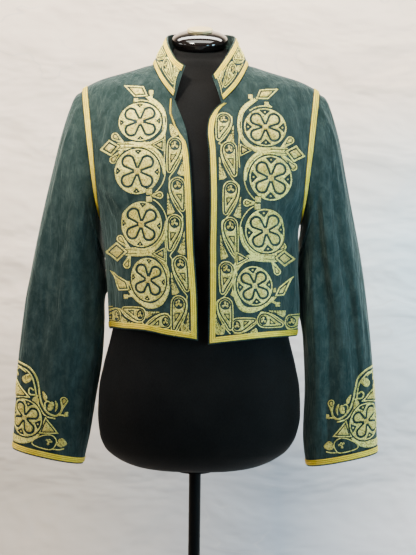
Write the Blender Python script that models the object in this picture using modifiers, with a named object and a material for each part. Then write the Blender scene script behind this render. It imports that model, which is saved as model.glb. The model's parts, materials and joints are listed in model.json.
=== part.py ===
"""Bolero jacket with gold braid and raised rosettes, worn open on a dress form that stands on a pole.

Metres, +Z up, the front faces -Y, and the origin is on the floor under the pole.
The cloth pieces are walls through one smooth shape of the worn body, cut at the real seam lines.
An angle round the body is measured from +X, so that the front lies at -90 degrees and the back at +90.
"""

import math

import bmesh
import bpy
import numpy as np
from mathutils import Vector
from mathutils.bvhtree import BVHTree


def table(columns, *rows):
    """A short table: one array for each named column."""
    return dict(zip(columns.split(), np.array(rows, float).T))


# Cloth, seams and braid
CLOTH = 0.0022
SEAM = 0.0004
LIFT = 0.0004
BRAID_WIDTH = 0.0088
BRAID_THICK = 0.0013
BRAID_INSET = 0.0022
BRAID_CROWN = (0.7, 1.0, 0.7)
PROBE = 0.012
SECTION_POWER = 2.4

# Steps of the panels' grids
FRONT_STEPS = 11
EDGE_STEPS = 14
SIDE_STEPS = 8
ROW_Z = 1.236
NECK_FRONT_STEPS = 6
NECK_BACK_STEPS = 5
BACK_SHOULDER_STEPS = 8
BACK_ROWS = 18
SLEEVE_RINGS = 16
HEAD_STEPS = 15
UNDER_STEPS = 13
CUFF_STEPS = 26

# The jacket's body, section by section up the figure
BODY = table(
    "z half front back",
    (1.005, 0.1570, 0.1230, 0.1080),
    (1.060, 0.1610, 0.1260, 0.1045),
    (1.120, 0.1625, 0.1285, 0.1030),
    (1.170, 0.1628, 0.1305, 0.1060),
    (1.195, 0.1640, 0.1312, 0.1085),
    (1.211, 0.1670, 0.1312, 0.1100),
    (1.221, 0.1705, 0.1310, 0.1110),
    (1.240, 0.1810, 0.1302, 0.1130),
    (1.262, 0.1920, 0.1282, 0.1150),
    (1.300, 0.2050, 0.1230, 0.1170),
    (1.350, 0.2125, 0.1120, 0.1150),
    (1.400, 0.2110, 0.0965, 0.1045),
    (1.4335, 0.2010, 0.0830, 0.0915),
    (1.4423, 0.1880, 0.0785, 0.0870),
    (1.4506, 0.1705, 0.0740, 0.0825),
    (1.456, 0.1530, 0.0710, 0.0795),
    (1.461, 0.1350, 0.0680, 0.0765),
    (1.466, 0.1180, 0.0650, 0.0735),
    (1.472, 0.1000, 0.0610, 0.0700),
    (1.477, 0.0810, 0.0575, 0.0660),
    (1.492, 0.0700, 0.0500, 0.0600),
)
SWAY = table(
    "z shift",
    (1.005, 0.0120),
    (1.080, 0.0110),
    (1.180, 0.0055),
    (1.300, 0.0040),
    (1.500, 0.0020),
)

# Where the panels are cut, for the wearer's right (-1) and left (+1)
EDGE = {
    -1: table(
        "z x",
        (1.0197, 0.0080),
        (1.100, 0.0090),
        (1.242, 0.0120),
        (1.321, 0.0175),
        (1.353, 0.0220),
        (1.379, 0.0300),
        (1.400, 0.0385),
        (1.411, 0.0425),
    ),
    1: table(
        "z x",
        (1.0133, 0.0080),
        (1.085, 0.0095),
        (1.164, 0.0136),
        (1.242, 0.0155),
        (1.321, 0.0135),
        (1.353, 0.0105),
        (1.372, 0.0125),
        (1.386, 0.0190),
        (1.396, 0.0270),
        (1.402, 0.0345),
    ),
}
NECKLINE = table("x z", (0.0560, 1.4260), (0.0672, 1.4435), (0.0752, 1.4610), (0.0810, 1.4770))
BACK_NECK_Z = 1.4900
HEM = {
    -1: table("u z", (0, 1.0197), (0.25, 1.0265), (0.45, 1.0340), (0.75, 1.0350), (1, 1.0310)),
    1: table("u z", (0, 1.0133), (0.25, 1.0190), (0.50, 1.0235), (0.75, 1.0245), (1, 1.0240)),
}
SHOULDER_X = 0.2010
UNDERARM_Z = 1.2210

# Soft folds of the body: a ridge or trough that runs from one place to another over the cloth
BODY_FOLDS = table(
    "side x0 z0 x1 z1 width height",
    (-1, 0.146, 1.275, 0.118, 1.215, 0.0080, 0.0032),
    (-1, 0.160, 1.235, 0.146, 1.160, 0.0075, 0.0030),
    (-1, 0.150, 1.165, 0.146, 1.060, 0.0100, -0.0022),
    (-1, 0.075, 1.060, 0.095, 1.030, 0.0160, 0.0030),
    (1, 0.160, 1.290, 0.150, 1.215, 0.0085, 0.0035),
    (1, 0.148, 1.250, 0.132, 1.190, 0.0080, -0.0028),
    (1, 0.156, 1.180, 0.150, 1.060, 0.0110, 0.0025),
    (1, 0.110, 1.075, 0.120, 1.030, 0.0150, -0.0024),
)
BACK_FOLDS = table(
    "side x0 z0 x1 z1 width height",
    (-1, 0.150, 1.260, 0.105, 1.190, 0.0120, 0.0035),
    (-1, 0.120, 1.330, 0.090, 1.200, 0.0150, -0.0025),
    (-1, 0.070, 1.150, 0.080, 1.030, 0.0180, 0.0040),
    (1, 0.152, 1.255, 0.110, 1.180, 0.0120, 0.0035),
    (1, 0.020, 1.200, 0.030, 1.030, 0.0200, -0.0035),
    (1, 0.095, 1.160, 0.110, 1.030, 0.0170, 0.0040),
)
ROLL_Z = 1.335
ROLL_IN = 0.0060
ROLL_WIDTH = 0.0120

# Collar, from each front tip over the side of the neck to the middle of the back
COLLAR_TOP = {
    -1: table(
        "c x y z",
        (0, 0.0250, -0.0820, 1.4643),
        (0.14, 0.0385, -0.0780, 1.4740),
        (0.28, 0.0487, -0.0640, 1.4915),
        (0.42, 0.0560, -0.0370, 1.5124),
        (0.56, 0.0580, -0.0020, 1.5290),
        (0.78, 0.0440, 0.0380, 1.5420),
        (1, 0.0, 0.0540, 1.5460),
    ),
    1: table(
        "c x y z",
        (0, 0.0185, -0.0850, 1.4470),
        (0.14, 0.0330, -0.0810, 1.4680),
        (0.28, 0.0440, -0.0680, 1.4870),
        (0.42, 0.0535, -0.0440, 1.5080),
        (0.56, 0.0580, -0.0050, 1.5280),
        (0.78, 0.0440, 0.0380, 1.5420),
        (1, 0.0, 0.0540, 1.5460),
    ),
}
COLLAR_SIDE = 0.5
COLLAR_BOW = 0.0020
COLLAR_BRAIDS = (("braid_collar_foot", 0.03, 0.20), ("braid_collar_top", 0.79, 0.965))

# Sleeves: the outer and the inner line that the front view shows, from armhole to cuff
SLEEVE_OUTER = table(
    "x z",
    (0.2120, 1.4245),
    (0.2200, 1.4080),
    (0.2290, 1.3800),
    (0.2365, 1.3530),
    (0.2475, 1.3030),
    (0.2585, 1.2520),
    (0.2690, 1.2010),
    (0.2785, 1.1500),
    (0.2860, 1.0990),
    (0.2920, 1.0480),
    (0.2970, 0.9970),
    (0.3010, 0.9460),
    (0.3045, 0.8950),
    (0.3077, 0.8300),
)
SLEEVE_INNER = table(
    "x z",
    (0.1765, 1.2110),
    (0.1765, 1.1900),
    (0.1735, 1.1500),
    (0.1700, 1.1050),
    (0.1685, 1.0500),
    (0.1705, 0.9970),
    (0.1765, 0.9200),
    (0.1795, 0.8610),
    (0.1840, 0.8270),
    (0.1885, 0.8050),
)
SLEEVE_DEPTH = table(
    "v half y",
    (0, 0.0680, 0.0),
    (0.15, 0.0660, 0.0020),
    (0.35, 0.0600, 0.0040),
    (0.60, 0.0520, 0.0),
    (0.80, 0.0450, -0.0070),
    (1, 0.0380, -0.0140),
)
SLEEVE_POWER = 2.2
HEAD_SHARE = 0.16
# Angles round a sleeve: 0 outside, 90 front, 180 next to the body, 270 back
SLEEVE_FOLDS = {
    -1: table(
        "start end a0 a1 width depth",
        (0.02, 0.95, 96, 88, 9, 0.0040),
        (0.05, 0.80, 70, 58, 12, -0.0035),
        (0.25, 0.95, 36, 30, 11, 0.0030),
        (0.10, 0.90, 122, 128, 13, -0.0045),
        (0.10, 0.70, 250, 262, 12, 0.0045),
        (0.20, 0.90, 292, 300, 14, -0.0045),
        (0.35, 1.00, 325, 330, 12, 0.0030),
    ),
    1: table(
        "start end a0 a1 width depth",
        (0.02, 0.72, 112, 100, 10, -0.0052),
        (0.10, 0.95, 92, 84, 9, 0.0042),
        (0.06, 0.80, 74, 70, 9, -0.0042),
        (0.15, 0.90, 55, 50, 10, 0.0035),
        (0.12, 1.00, 134, 128, 12, 0.0040),
        (0.10, 0.75, 255, 265, 12, 0.0045),
        (0.25, 0.95, 288, 296, 13, -0.0050),
        (0.30, 0.85, 322, 318, 12, 0.0032),
    ),
}
GATHERS = 5
GATHER_SPAN = 62
GATHER_DEPTH = 0.0016
GATHER_REACH = 0.10

# Raised rosettes of gold work: middle and half sizes, as the front view shows them
ROSETTES = table(
    "x z half_x half_z",
    (0.0990, 1.3645, 0.0345, 0.0300),
    (0.1050, 1.2840, 0.0350, 0.0350),
    (0.0975, 1.1990, 0.0318, 0.0358),
    (0.0840, 1.1120, 0.0290, 0.0350),
)
ROSETTE_DROP = {-1: 0.004, 1: -0.003}
PETALS = 4
PETAL_TURN = 42
PETAL_RISE = 0.0009
ROSETTE_THICK = 0.0010
CUFF_ROSETTE = {"rise": 0.054, "angle": 42, "half": 0.0295, "reach": 0.052}

# Dress form and stand
FORM = table(
    "z half front back",
    (0.7963, 0.0600, 0.0400, 0.0400),
    (0.7990, 0.0860, 0.0600, 0.0580),
    (0.8060, 0.1130, 0.0800, 0.0770),
    (0.8180, 0.1370, 0.0970, 0.0920),
    (0.8330, 0.1550, 0.1090, 0.1030),
    (0.8550, 0.1660, 0.1170, 0.1100),
    (0.8900, 0.1712, 0.1210, 0.1140),
    (0.9300, 0.1700, 0.1190, 0.1140),
    (0.9700, 0.1630, 0.1120, 0.1080),
    (1.0150, 0.1520, 0.1040, 0.0980),
    (1.0600, 0.1430, 0.0990, 0.0900),
    (1.1000, 0.1400, 0.1000, 0.0870),
    (1.1500, 0.1450, 0.1100, 0.0920),
    (1.2000, 0.1530, 0.1205, 0.0990),
    (1.2400, 0.1590, 0.1215, 0.1040),
    (1.3000, 0.1660, 0.1110, 0.1070),
    (1.3500, 0.1710, 0.0985, 0.1040),
    (1.4000, 0.1720, 0.0815, 0.0915),
    (1.4270, 0.1690, 0.0700, 0.0800),
    (1.4392, 0.1610, 0.0640, 0.0740),
    (1.4492, 0.1440, 0.0600, 0.0690),
    (1.4552, 0.1260, 0.0575, 0.0660),
    (1.4612, 0.1060, 0.0555, 0.0630),
    (1.4679, 0.0840, 0.0530, 0.0600),
    (1.4790, 0.0640, 0.0505, 0.0550),
    (1.4920, 0.0530, 0.0480, 0.0500),
    (1.5110, 0.0440, 0.0430, 0.0430),
)
FORM_SWAY = 0.5
NECK_SLANT_Z = 1.4700
CAP_HALF = 0.0480
CAP_FOOT_Z = 1.5110
CAP_RISE = 0.0290
CAP_WAIST = 0.40
CAP_TILT = 24
CAP_FLAT = 0.0215
PLATE_THICK = 0.0045
POLE_RADIUS = 0.0102
POLE_FOOT_Z = 0.0430
BASE_RADIUS = 0.1700
BASE_THICK = 0.0120
HUB_RADIUS = 0.0240
HUB_TOP_Z = 0.0430
FLANGE_RADIUS = 0.0290
FLANGE_THICK = 0.0060


# Curves


def through(keys, values, at):
    """Smooth curve through the points of a table, without overshoot."""
    step = np.diff(keys)
    slope = np.diff(values) / step
    both = slope[:-1] + slope[1:]
    same = slope[:-1] * slope[1:] > 0
    inner = np.where(same, 2 * slope[:-1] * slope[1:] / np.where(same, both, 1), 0)
    tangent = np.concatenate([slope[:1], inner, slope[-1:]])
    at = np.clip(at, keys[0], keys[-1])
    i = np.clip(np.searchsorted(keys, at) - 1, 0, len(step) - 1)
    f = (at - keys[i]) / step[i]
    low = (1 + 2 * f) * (1 - f) ** 2 * values[i] + f * (1 - f) ** 2 * step[i] * tangent[i]
    high = f * f * (3 - 2 * f) * values[i + 1] + f * f * (f - 1) * step[i] * tangent[i + 1]
    return low + high


def ease(x):
    """Smooth step from 0 to 1."""
    x = np.clip(x, 0, 1)
    return x * x * (3 - 2 * x)


def unit(vectors):
    return vectors / np.linalg.norm(vectors, axis=-1, keepdims=True)


def spaced(points, count):
    """A line of points read again at even spacing along its length, as count steps."""
    points = np.asarray(points, float)
    length = np.concatenate([[0], np.cumsum(np.linalg.norm(np.diff(points, axis=0), axis=1))])
    at = np.linspace(0, length[-1], count + 1)
    return np.stack([through(length, column, at) for column in points.T], axis=-1)


# The worn shape of the body


def section_reach(angle, half, depth):
    """Distance from the axis to a rounded section at an angle."""
    across = np.abs(np.cos(angle) / half) ** SECTION_POWER
    along = np.abs(np.sin(angle) / depth) ** SECTION_POWER
    return (across + along) ** (-1 / SECTION_POWER)


def plain_body(angle, z):
    """A point of the jacket's outside without folds."""
    front = through(BODY["z"], BODY["front"], z)
    back = through(BODY["z"], BODY["back"], z)
    depth = np.where(np.sin(angle) < 0, front, back)
    reach = section_reach(angle, through(BODY["z"], BODY["half"], z), depth)
    x = reach * np.cos(angle) + through(SWAY["z"], SWAY["shift"], z)
    return np.stack([x, reach * np.sin(angle), z + 0 * x], axis=-1)


def fold_height(folds, side, x, z):
    """Height of the soft folds at a place, from a table of fold lines."""
    height = 0 * x
    for i, own in enumerate(folds["side"]):
        start = np.array([folds["x0"][i], folds["z0"][i]])
        run = np.array([folds["x1"][i], folds["z1"][i]]) - start
        length = np.hypot(*run)
        along = ((np.abs(x) - start[0]) * run[0] + (z - start[1]) * run[1]) / length**2
        across = ((np.abs(x) - start[0]) * run[1] - (z - start[1]) * run[0]) / length
        ends = ease((along + 0.35) / 0.5) * ease((1.35 - along) / 0.5)
        bump = np.exp(-((across / folds["width"][i]) ** 2)) * ends
        height = height + np.where(side == own, folds["height"][i] * bump, 0)
    return height


def seam_calm(angle, z):
    """0 at a side, shoulder or armhole seam, 1 on the open cloth, so that seams stay closed."""
    off_side = ease(np.abs(np.sin(angle)) / 0.30)
    x = np.abs(plain_body(angle, z)[..., 0])
    to_armhole = hole_x(z) - x
    above = ease((z - UNDERARM_Z + 0.01) / 0.02)
    return off_side * (1 - above * (1 - ease((to_armhole - 0.008) / 0.02)))


def body_rise(angle, z):
    """How far the cloth stands off its plain shape."""
    place = plain_body(angle, z)
    x = place[..., 0] - through(SWAY["z"], SWAY["shift"], z)
    side = np.where(x < 0, -1, 1)
    front = fold_height(BODY_FOLDS, side, x, z)
    back = fold_height(BACK_FOLDS, side, x, z)
    rise = np.where(np.sin(angle) < 0, front, back) * seam_calm(angle, z)
    from_edge = np.abs(x) - through(EDGE[-1]["z"], EDGE[-1]["x"], z)
    turned = ease((z - ROLL_Z) / 0.04) * np.exp(-((np.maximum(from_edge, 0) / ROLL_WIDTH) ** 2))
    return rise - np.where((np.sin(angle) < 0) & (x < 0), ROLL_IN * turned, 0)


def normals(shape, a, b, step_a=1e-4, step_b=1e-4):
    """Outward unit normals of a surface given as a function of two numbers."""
    along_a = shape(a + step_a, b) - shape(a - step_a, b)
    along_b = shape(a, b + step_b) - shape(a, b - step_b)
    return unit(np.cross(along_a, along_b))


def body(angle, z):
    """A point of the jacket's outside, folds included."""
    return plain_body(angle, z) + normals(plain_body, angle, z) * body_rise(angle, z)[..., None]


def angle_at(side, x, z, front=True):
    """The angle at which the section at height z reaches x, on one side of the front or back."""
    half = through(BODY["z"], BODY["half"], z)
    depth = through(BODY["z"], BODY["front" if front else "back"], z)
    share = np.clip(x / half, 0, 1)
    turn = np.arctan2(depth * (1 - share**SECTION_POWER) ** (1 / SECTION_POWER), half * share)
    return turned_angle(side, turn, front)


def turned_angle(side, turn, front=True):
    """Turn counts from the side seam (0) to the middle of the front or back (90 degrees)."""
    angle = turn if side > 0 else math.pi - turn
    return -angle if front else angle


def ridge_z(x):
    """Height of the shoulder line at x."""
    z = np.linspace(1.42, BODY["z"][-1], 400)
    half = through(BODY["z"], BODY["half"], z)
    return np.interp(-x, -half, z)


def hole_x(z):
    """The armhole's straight cut in the front view."""
    x0 = through(BODY["z"], BODY["half"], UNDERARM_Z)
    return x0 + (SHOULDER_X - x0) * (z - UNDERARM_Z) / (ridge_z(SHOULDER_X) - UNDERARM_Z)


def armhole_half(side, count, front, inset=0.0):
    """Angles and heights from underarm to shoulder point along one half of the armhole."""
    low, top = UNDERARM_Z - inset, ridge_z(SHOULDER_X - inset)
    share = (1 - np.cos(np.linspace(0, math.pi, count + 1))) / 2
    z = low + (top - low) * share
    x0 = through(BODY["z"], BODY["half"], low)
    x = x0 + (SHOULDER_X - inset - x0) * share - 0.3 * inset * np.sin(math.pi * share)
    return np.stack([angle_at(side, x, z, front), z], axis=-1)


# Panels


def coons(left, right, bottom, top):
    """Grid of (angle, height) pairs between four edges; rows run from bottom to top.

    Rows meet the side edges level, and the shape of the top and bottom edges fades quickly.
    """
    u = np.linspace(0, 1, len(bottom))
    v = np.linspace(0, 1, len(left))[:, None]
    rows = []
    for k, share in enumerate((u, ease(u))):
        across = (1 - share) * left[:, None, k] + share * right[:, None, k]
        low = bottom[:, k] - (1 - share) * bottom[0, k] - share * bottom[-1, k]
        high = top[:, k] - (1 - share) * top[0, k] - share * top[-1, k]
        rows.append(across + (1 - v) ** 4 * low + v**4 * high)
    return np.stack(rows, axis=-1)


def seam_turn(z):
    """Turn that keeps half a seam gap from the side or shoulder line."""
    return SEAM / 2 / through(BODY["z"], BODY["half"], z)


def pairs(angle, z):
    angle, z = np.broadcast_arrays(np.asarray(angle, float), np.asarray(z, float))
    return np.stack([angle, z], axis=-1)


def neck_points(side):
    """The front neckline in the front view, from the front edge to the shoulder line."""
    start = [(EDGE[side]["x"][-1], EDGE[side]["z"][-1])]
    return spaced(start + list(zip(NECKLINE["x"], NECKLINE["z"])), NECK_FRONT_STEPS)


def back_neck_z(turn):
    return NECKLINE["z"][-1] + (BACK_NECK_Z - NECKLINE["z"][-1]) * ease(np.sin(turn))


def side_column(side, front, hole_steps):
    """Right or left boundary of a panel: the side seam, then the armhole up to the shoulder."""
    side_z = np.linspace(HEM[side]["z"][-1], UNDERARM_Z, SIDE_STEPS + 1)
    seam = pairs(turned_angle(side, seam_turn(side_z), front), side_z)
    hole = armhole_half(side, hole_steps, front)
    hole[-1] = (turned_angle(side, seam_turn(hole[-1, 1]), front), hole[-1, 1])
    return np.concatenate([seam, hole[1:]])


def front_cells(side):
    """(angle, height) grid of a front, from its front edge to its side seam and armhole."""
    neck = neck_points(side)
    edge_z = EDGE[side]["z"]
    low_z = np.linspace(edge_z[0], ROW_Z, SIDE_STEPS + 1)
    high_z = np.linspace(ROW_Z, edge_z[-1], EDGE_STEPS - SIDE_STEPS + 1)
    edge_z = np.concatenate([low_z, high_z[1:]])
    edge = np.stack([through(EDGE[side]["z"], EDGE[side]["x"], edge_z), edge_z], axis=-1)
    outline = np.concatenate([edge, neck[1:]])
    left = pairs(angle_at(side, outline[:, 0], outline[:, 1]), outline[:, 1])
    left[-1] = (turned_angle(side, seam_turn(neck[-1, 1])), neck[-1, 1])
    right = side_column(side, True, len(left) - 1 - SIDE_STEPS)
    u = np.linspace(0, 1, FRONT_STEPS + 1)
    bottom = pairs(left[0, 0] + (right[0, 0] - left[0, 0]) * u, hem_z(side, u))
    ridge = ridge_z(np.linspace(NECKLINE["x"][-1], SHOULDER_X, FRONT_STEPS + 1))
    top = pairs(turned_angle(side, seam_turn(ridge)), ridge)
    top[0], top[-1] = left[-1], right[-1]
    return coons(left, right, bottom, top)


def hem_z(side, u):
    return through(HEM[side]["u"], HEM[side]["z"], u)


def back_cells():
    """(angle, height) grid of the back, from the wearer's left to the right: angles 0 to 180."""
    left = side_column(1, False, BACK_ROWS - SIDE_STEPS)
    right = side_column(-1, False, BACK_ROWS - SIDE_STEPS)
    heights = ridge_z(np.linspace(SHOULDER_X, NECKLINE["x"][-1], BACK_SHOULDER_STEPS + 1))
    heights[-1] = NECKLINE["z"][-1]
    ridge = pairs(seam_turn(heights), heights)
    ridge[0] = left[-1]
    turn = np.linspace(0, math.pi, 2 * NECK_BACK_STEPS + 1)
    line = pairs(turn, back_neck_z(turn))
    other = pairs(math.pi - ridge[::-1, 0], ridge[::-1, 1])
    top = np.concatenate([ridge, line[1:-1], other])
    top[-1] = right[-1]
    u = np.linspace(0, 1, len(top))[:, None]
    bottom = left[0] + (right[0] - left[0]) * u
    return coons(left, right, bottom, top)


# Solids


def add_object(name, mesh, slot):
    obj = bpy.data.objects.new(name, mesh)
    obj.data.materials.append(MATERIALS[slot])
    JACKET.objects.link(obj)
    return obj


def finish(name, mesh, slot, sharp=50):
    """An object from a bmesh, its faces turned outward and smooth but for sharp edges."""
    bmesh.ops.recalc_face_normals(mesh, faces=mesh.faces)
    made = bpy.data.meshes.new(name)
    mesh.to_mesh(made)
    mesh.free()
    made.shade_smooth()
    made.set_sharp_from_angle(angle=math.radians(sharp))
    return add_object(name, made, slot)


def skin_faces(rows, columns, closed):
    """Corner (row, column) pairs of each quad of a grid."""
    steps = columns if closed else columns - 1
    for r in range(rows - 1):
        for c in range(steps):
            d = (c + 1) % columns
            yield (r, c), (r, d), (r + 1, d), (r + 1, c)


def wall(name, outer, inner, slot, closed=False, apex=False):
    """A closed wall between two grids of points.

    closed joins the last column to the first; with apex the first row is one point.
    """
    rows, columns = outer.shape[:2]
    mesh = bmesh.new()
    out, into = [[[mesh.verts.new(p) for p in row] for row in grid] for grid in (outer, inner)]
    for corners in skin_faces(rows, columns, closed):
        mesh.faces.new([out[r][c] for r, c in corners])
        mesh.faces.new([into[r][c] for r, c in reversed(corners)])
    for r in (rows - 1,) if apex else (0, rows - 1):
        for c in range(columns if closed else columns - 1):
            d = (c + 1) % columns
            mesh.faces.new((out[r][c], out[r][d], into[r][d], into[r][c]))
    if not closed:
        for c in (0, columns - 1):
            for r in range(rows - 1):
                mesh.faces.new((out[r][c], out[r + 1][c], into[r + 1][c], into[r][c]))
    if apex:
        bmesh.ops.remove_doubles(mesh, verts=mesh.verts, dist=1e-6)
    SKINS[name] = skin_tree(outer, closed)
    return finish(name, mesh, slot)


def skin_tree(grid, closed):
    """Search tree of a wall's outer skin, so that trim can be laid on it."""
    rows, columns = grid.shape[:2]
    faces = []
    for corners in skin_faces(rows, columns, closed):
        a, b, c, d = [r * columns + k for r, k in corners]
        faces += [(a, b, c), (a, c, d)]
    return BVHTree.FromPolygons(grid.reshape(-1, 3).tolist(), faces)


def cloth_height(panels, point, out):
    """Height of the nearest cloth above a point, along its outward direction."""
    start = Vector(point + out * PROBE)
    hits = [SKINS[panel].ray_cast(start, Vector(-out), 2 * PROBE)[3] for panel in panels]
    hits = [hit for hit in hits if hit is not None]
    return PROBE - min(hits) if hits else -PROBE


def settled(panels, base, out, closed):
    """Lift that lays a grid of points on the panels, clear of them between its points too."""
    rows, columns = base.shape[:2]
    lift = np.zeros((rows, columns))
    for r in range(rows):
        for c in range(columns):
            lift[r, c] = max(cloth_height(panels, base[r, c], out[r, c]), -0.001) + LIFT
    shares = np.linspace(0, 1, 8)
    for _ in range(3):
        need = np.zeros_like(lift)
        points = base + out * lift[..., None]
        for corners in skin_faces(rows, columns, closed):
            a, b, c, d = [points[k] for k in corners]
            way = unit(out[corners[0]] + out[corners[2]])
            for s in shares:
                for t in shares:
                    place = (a * (1 - s) + b * s) * (1 - t) + (d * (1 - s) + c * s) * t
                    short = cloth_height(panels, place, way) + LIFT
                    for k in corners:
                        need[k] = max(need[k], short)
        lift += need
    return lift


def trim(name, panels, base, out, height, slot, closed=False, apex=False):
    """A raised piece that lies on panels; height is its thickness at each point."""
    lift = settled(panels, base, out, closed)[..., None]
    if apex:
        lift[0] = lift[0].max()
    top = base + out * (lift + np.asarray(height)[..., None])
    return wall(name, top, base + out * lift, slot, closed, apex)


def braid(name, panels, lines, closed=False):
    """Braid through lines of (base points, normals), one line for each step across it."""
    base = np.array([points for points, _ in lines])
    out = np.array([way for _, way in lines])
    height = np.array(BRAID_CROWN)[:, None] * BRAID_THICK + 0 * base[..., 0]
    return trim(name, panels, base, out, height, "braid", closed)


def cloth_line(cells):
    """Base points and normals of the body along a line of (angle, height) pairs."""
    angle, z = cells[..., 0], cells[..., 1]
    return body(angle, z), normals(body, angle, z)


def panel(name, cells):
    base, out = cloth_line(cells)
    return wall(name, base, base - out * CLOTH, "cloth")


def across_braid(inset=BRAID_INSET):
    """Distances of a braid's lines from the edge that it trims."""
    return [inset + BRAID_WIDTH * share for share in np.linspace(0, 1, len(BRAID_CROWN))]


def front_braid_line(side, inset, steps=22, hem_steps=13):
    """Line that stays a distance inside the front edge and, past its mitre, inside the hem."""
    edge = EDGE[side]
    z = np.linspace(edge["z"][-1] - 0.001, edge["z"][0] + inset, steps + 1)
    slope = np.gradient(through(edge["z"], edge["x"], z), z)
    x = through(edge["z"], edge["x"], z) + inset * np.sqrt(1 + slope**2)
    upright = pairs(angle_at(side, x, z), z)
    start, end = upright[-1, 0], turned_angle(side, seam_turn(HEM[side]["z"][-1]))
    corner = angle_at(side, edge["x"][0], edge["z"][0])
    angles = start + (end - start) * np.linspace(0, 1, hem_steps + 1)[1:]
    level = hem_z(side, (angles - corner) / (end - corner)) + inset
    return np.concatenate([upright, pairs(angles, level)])


def make_fronts():
    for side, word in ((-1, "right"), (1, "left")):
        panel(f"front_{word}", front_cells(side))
        lines = [cloth_line(front_braid_line(side, inset)) for inset in across_braid()]
        braid(f"braid_front_{word}", [f"front_{word}"], lines)


def make_back():
    panel("back", back_cells())
    share = np.linspace(0, 1, 21)
    low, high = HEM[1]["z"][-1], HEM[-1]["z"][-1]
    turn = seam_turn(low)
    angle = turn + (math.pi - 2 * turn) * share
    lines = [cloth_line(pairs(angle, low + (high - low) * share + inset)) for inset in across_braid()]
    braid("braid_back_hem", ["back"], lines)


def armhole_loop(side, inset, count=14):
    """(angle, height) loop round the armhole: up the front and down the back."""
    up = armhole_half(side, count, True, inset)
    down = armhole_half(side, count, False, inset)[::-1]
    loop = np.concatenate([up[:-1], down[:-1]])
    loop[(0, count), 0] = turned_angle(side, 0.0)
    return loop


def make_armhole_braids():
    for side, word in ((-1, "right"), (1, "left")):
        insets = across_braid(0.0020)
        lines = [cloth_line(armhole_loop(side, inset)) for inset in insets]
        braid(f"braid_armhole_{word}", [f"front_{word}", "back"], lines, closed=True)


# Collar


def collar_foot(side):
    """Keys (0 at the front tip, 1 at the middle of the back) and points of the collar's foot."""
    neck = neck_points(side)
    angle = angle_at(side, neck[:, 0], neck[:, 1])
    angle[-1] = turned_angle(side, 0.0)
    turn = np.linspace(0, math.pi / 2, NECK_BACK_STEPS + 1)[1:]
    angle = np.concatenate([angle, turned_angle(side, turn, False)])
    line = body(angle, np.concatenate([neck[:, 1], back_neck_z(turn)]))
    line += unit(line * (-1, -1, 0)) * SEAM + (0, 0, SEAM)
    keys = np.linspace(0, COLLAR_SIDE, NECK_FRONT_STEPS + 1)
    return np.concatenate([keys, np.linspace(COLLAR_SIDE, 1, NECK_BACK_STEPS + 1)[1:]]), line


def collar_edges(side, share):
    """Foot and top of the collar on one side, at shares from the front tip to the back."""
    keys, line = collar_foot(side)
    foot = np.stack([np.interp(share, keys, column) for column in line.T], axis=-1)
    top = COLLAR_TOP[side]
    x = side * top["x"] + through(SWAY["z"], SWAY["shift"], top["z"])
    line = [through(top["c"], column, share) for column in (x, top["y"], top["z"])]
    return foot, np.stack(line, axis=-1)


def collar_point(turn, height):
    """Collar point: turn 0 to 1 from the right front tip round the back to the left one."""
    turn, height = np.broadcast_arrays(np.asarray(turn, float), np.asarray(height, float))
    share = 1 - np.abs(2 * turn - 1)
    edges = [collar_edges(side, share) for side in (-1, 1)]
    foot, top = (np.where(turn[..., None] < 0.5, right, left) for right, left in zip(*edges))
    out = unit((foot + top) / 2 * (1, 1, 0))
    bow = COLLAR_BOW * np.sin(math.pi * np.clip(height, 0, 1))
    return foot + (top - foot) * height[..., None] + out * bow[..., None]


def collar_turns():
    """Stations round the collar: the panels' own points at its foot."""
    front = np.linspace(0, COLLAR_SIDE / 2, NECK_FRONT_STEPS + 1)
    back = np.linspace(COLLAR_SIDE / 2, 0.5, NECK_BACK_STEPS + 1)[1:]
    half = np.concatenate([front, back])
    return np.concatenate([half, 1 - half[-2::-1]])


def collar_line(turns, height):
    return collar_point(turns, height), -normals(collar_point, turns, height, 2e-3, 2e-2)


def make_collar():
    lines = [collar_line(collar_turns(), height) for height in np.linspace(0, 1, 5)]
    base, out = (np.array(part) for part in zip(*lines))
    wall("collar", base, base - out * CLOTH, "cloth")
    turns = 0.012 + 0.976 * collar_turns()
    for name, low, high in COLLAR_BRAIDS:
        lines = [collar_line(turns, height) for height in np.linspace(low, high, len(BRAID_CROWN))]
        braid(name, ["collar", "front_right", "front_left", "back"], lines)


# Sleeves


def sleeve_folds(side, angle, v):
    """Rise of the long soft folds and of the gathers at the sleeve head."""
    rise = 0 * angle
    folds = SLEEVE_FOLDS[side]
    for start, end, a0, a1, width, depth in zip(*folds.values()):
        along = (v - start) / (end - start)
        middle = a0 + (a1 - a0) * np.clip(along, 0, 1)
        off = (np.degrees(angle) - middle + 180) % 360 - 180
        rise = rise + depth * np.exp(-((off / width) ** 2)) * ease(along * 4) * ease((1 - along) * 3)
    off = (np.degrees(angle) + 180) % 360 - 180
    wave = np.cos(np.radians(off / GATHER_SPAN * 180 * GATHERS))
    spread = ease((GATHER_SPAN - np.abs(off)) / 15)
    fade = ease(v / 0.02) * ease((GATHER_REACH - v) / GATHER_REACH)
    return rise + GATHER_DEPTH * wave * spread * fade


def sleeve_start():
    """Lowest and highest points of the sleeve's first ring, a seam's gap off the armhole."""
    z = np.linspace(UNDERARM_Z - 0.004, ridge_z(SHOULDER_X) + 0.002, 2000)
    inside = z[through(BODY["z"], BODY["half"], z) >= hole_x(z) + SEAM]
    return inside[0], inside[-1]


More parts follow.
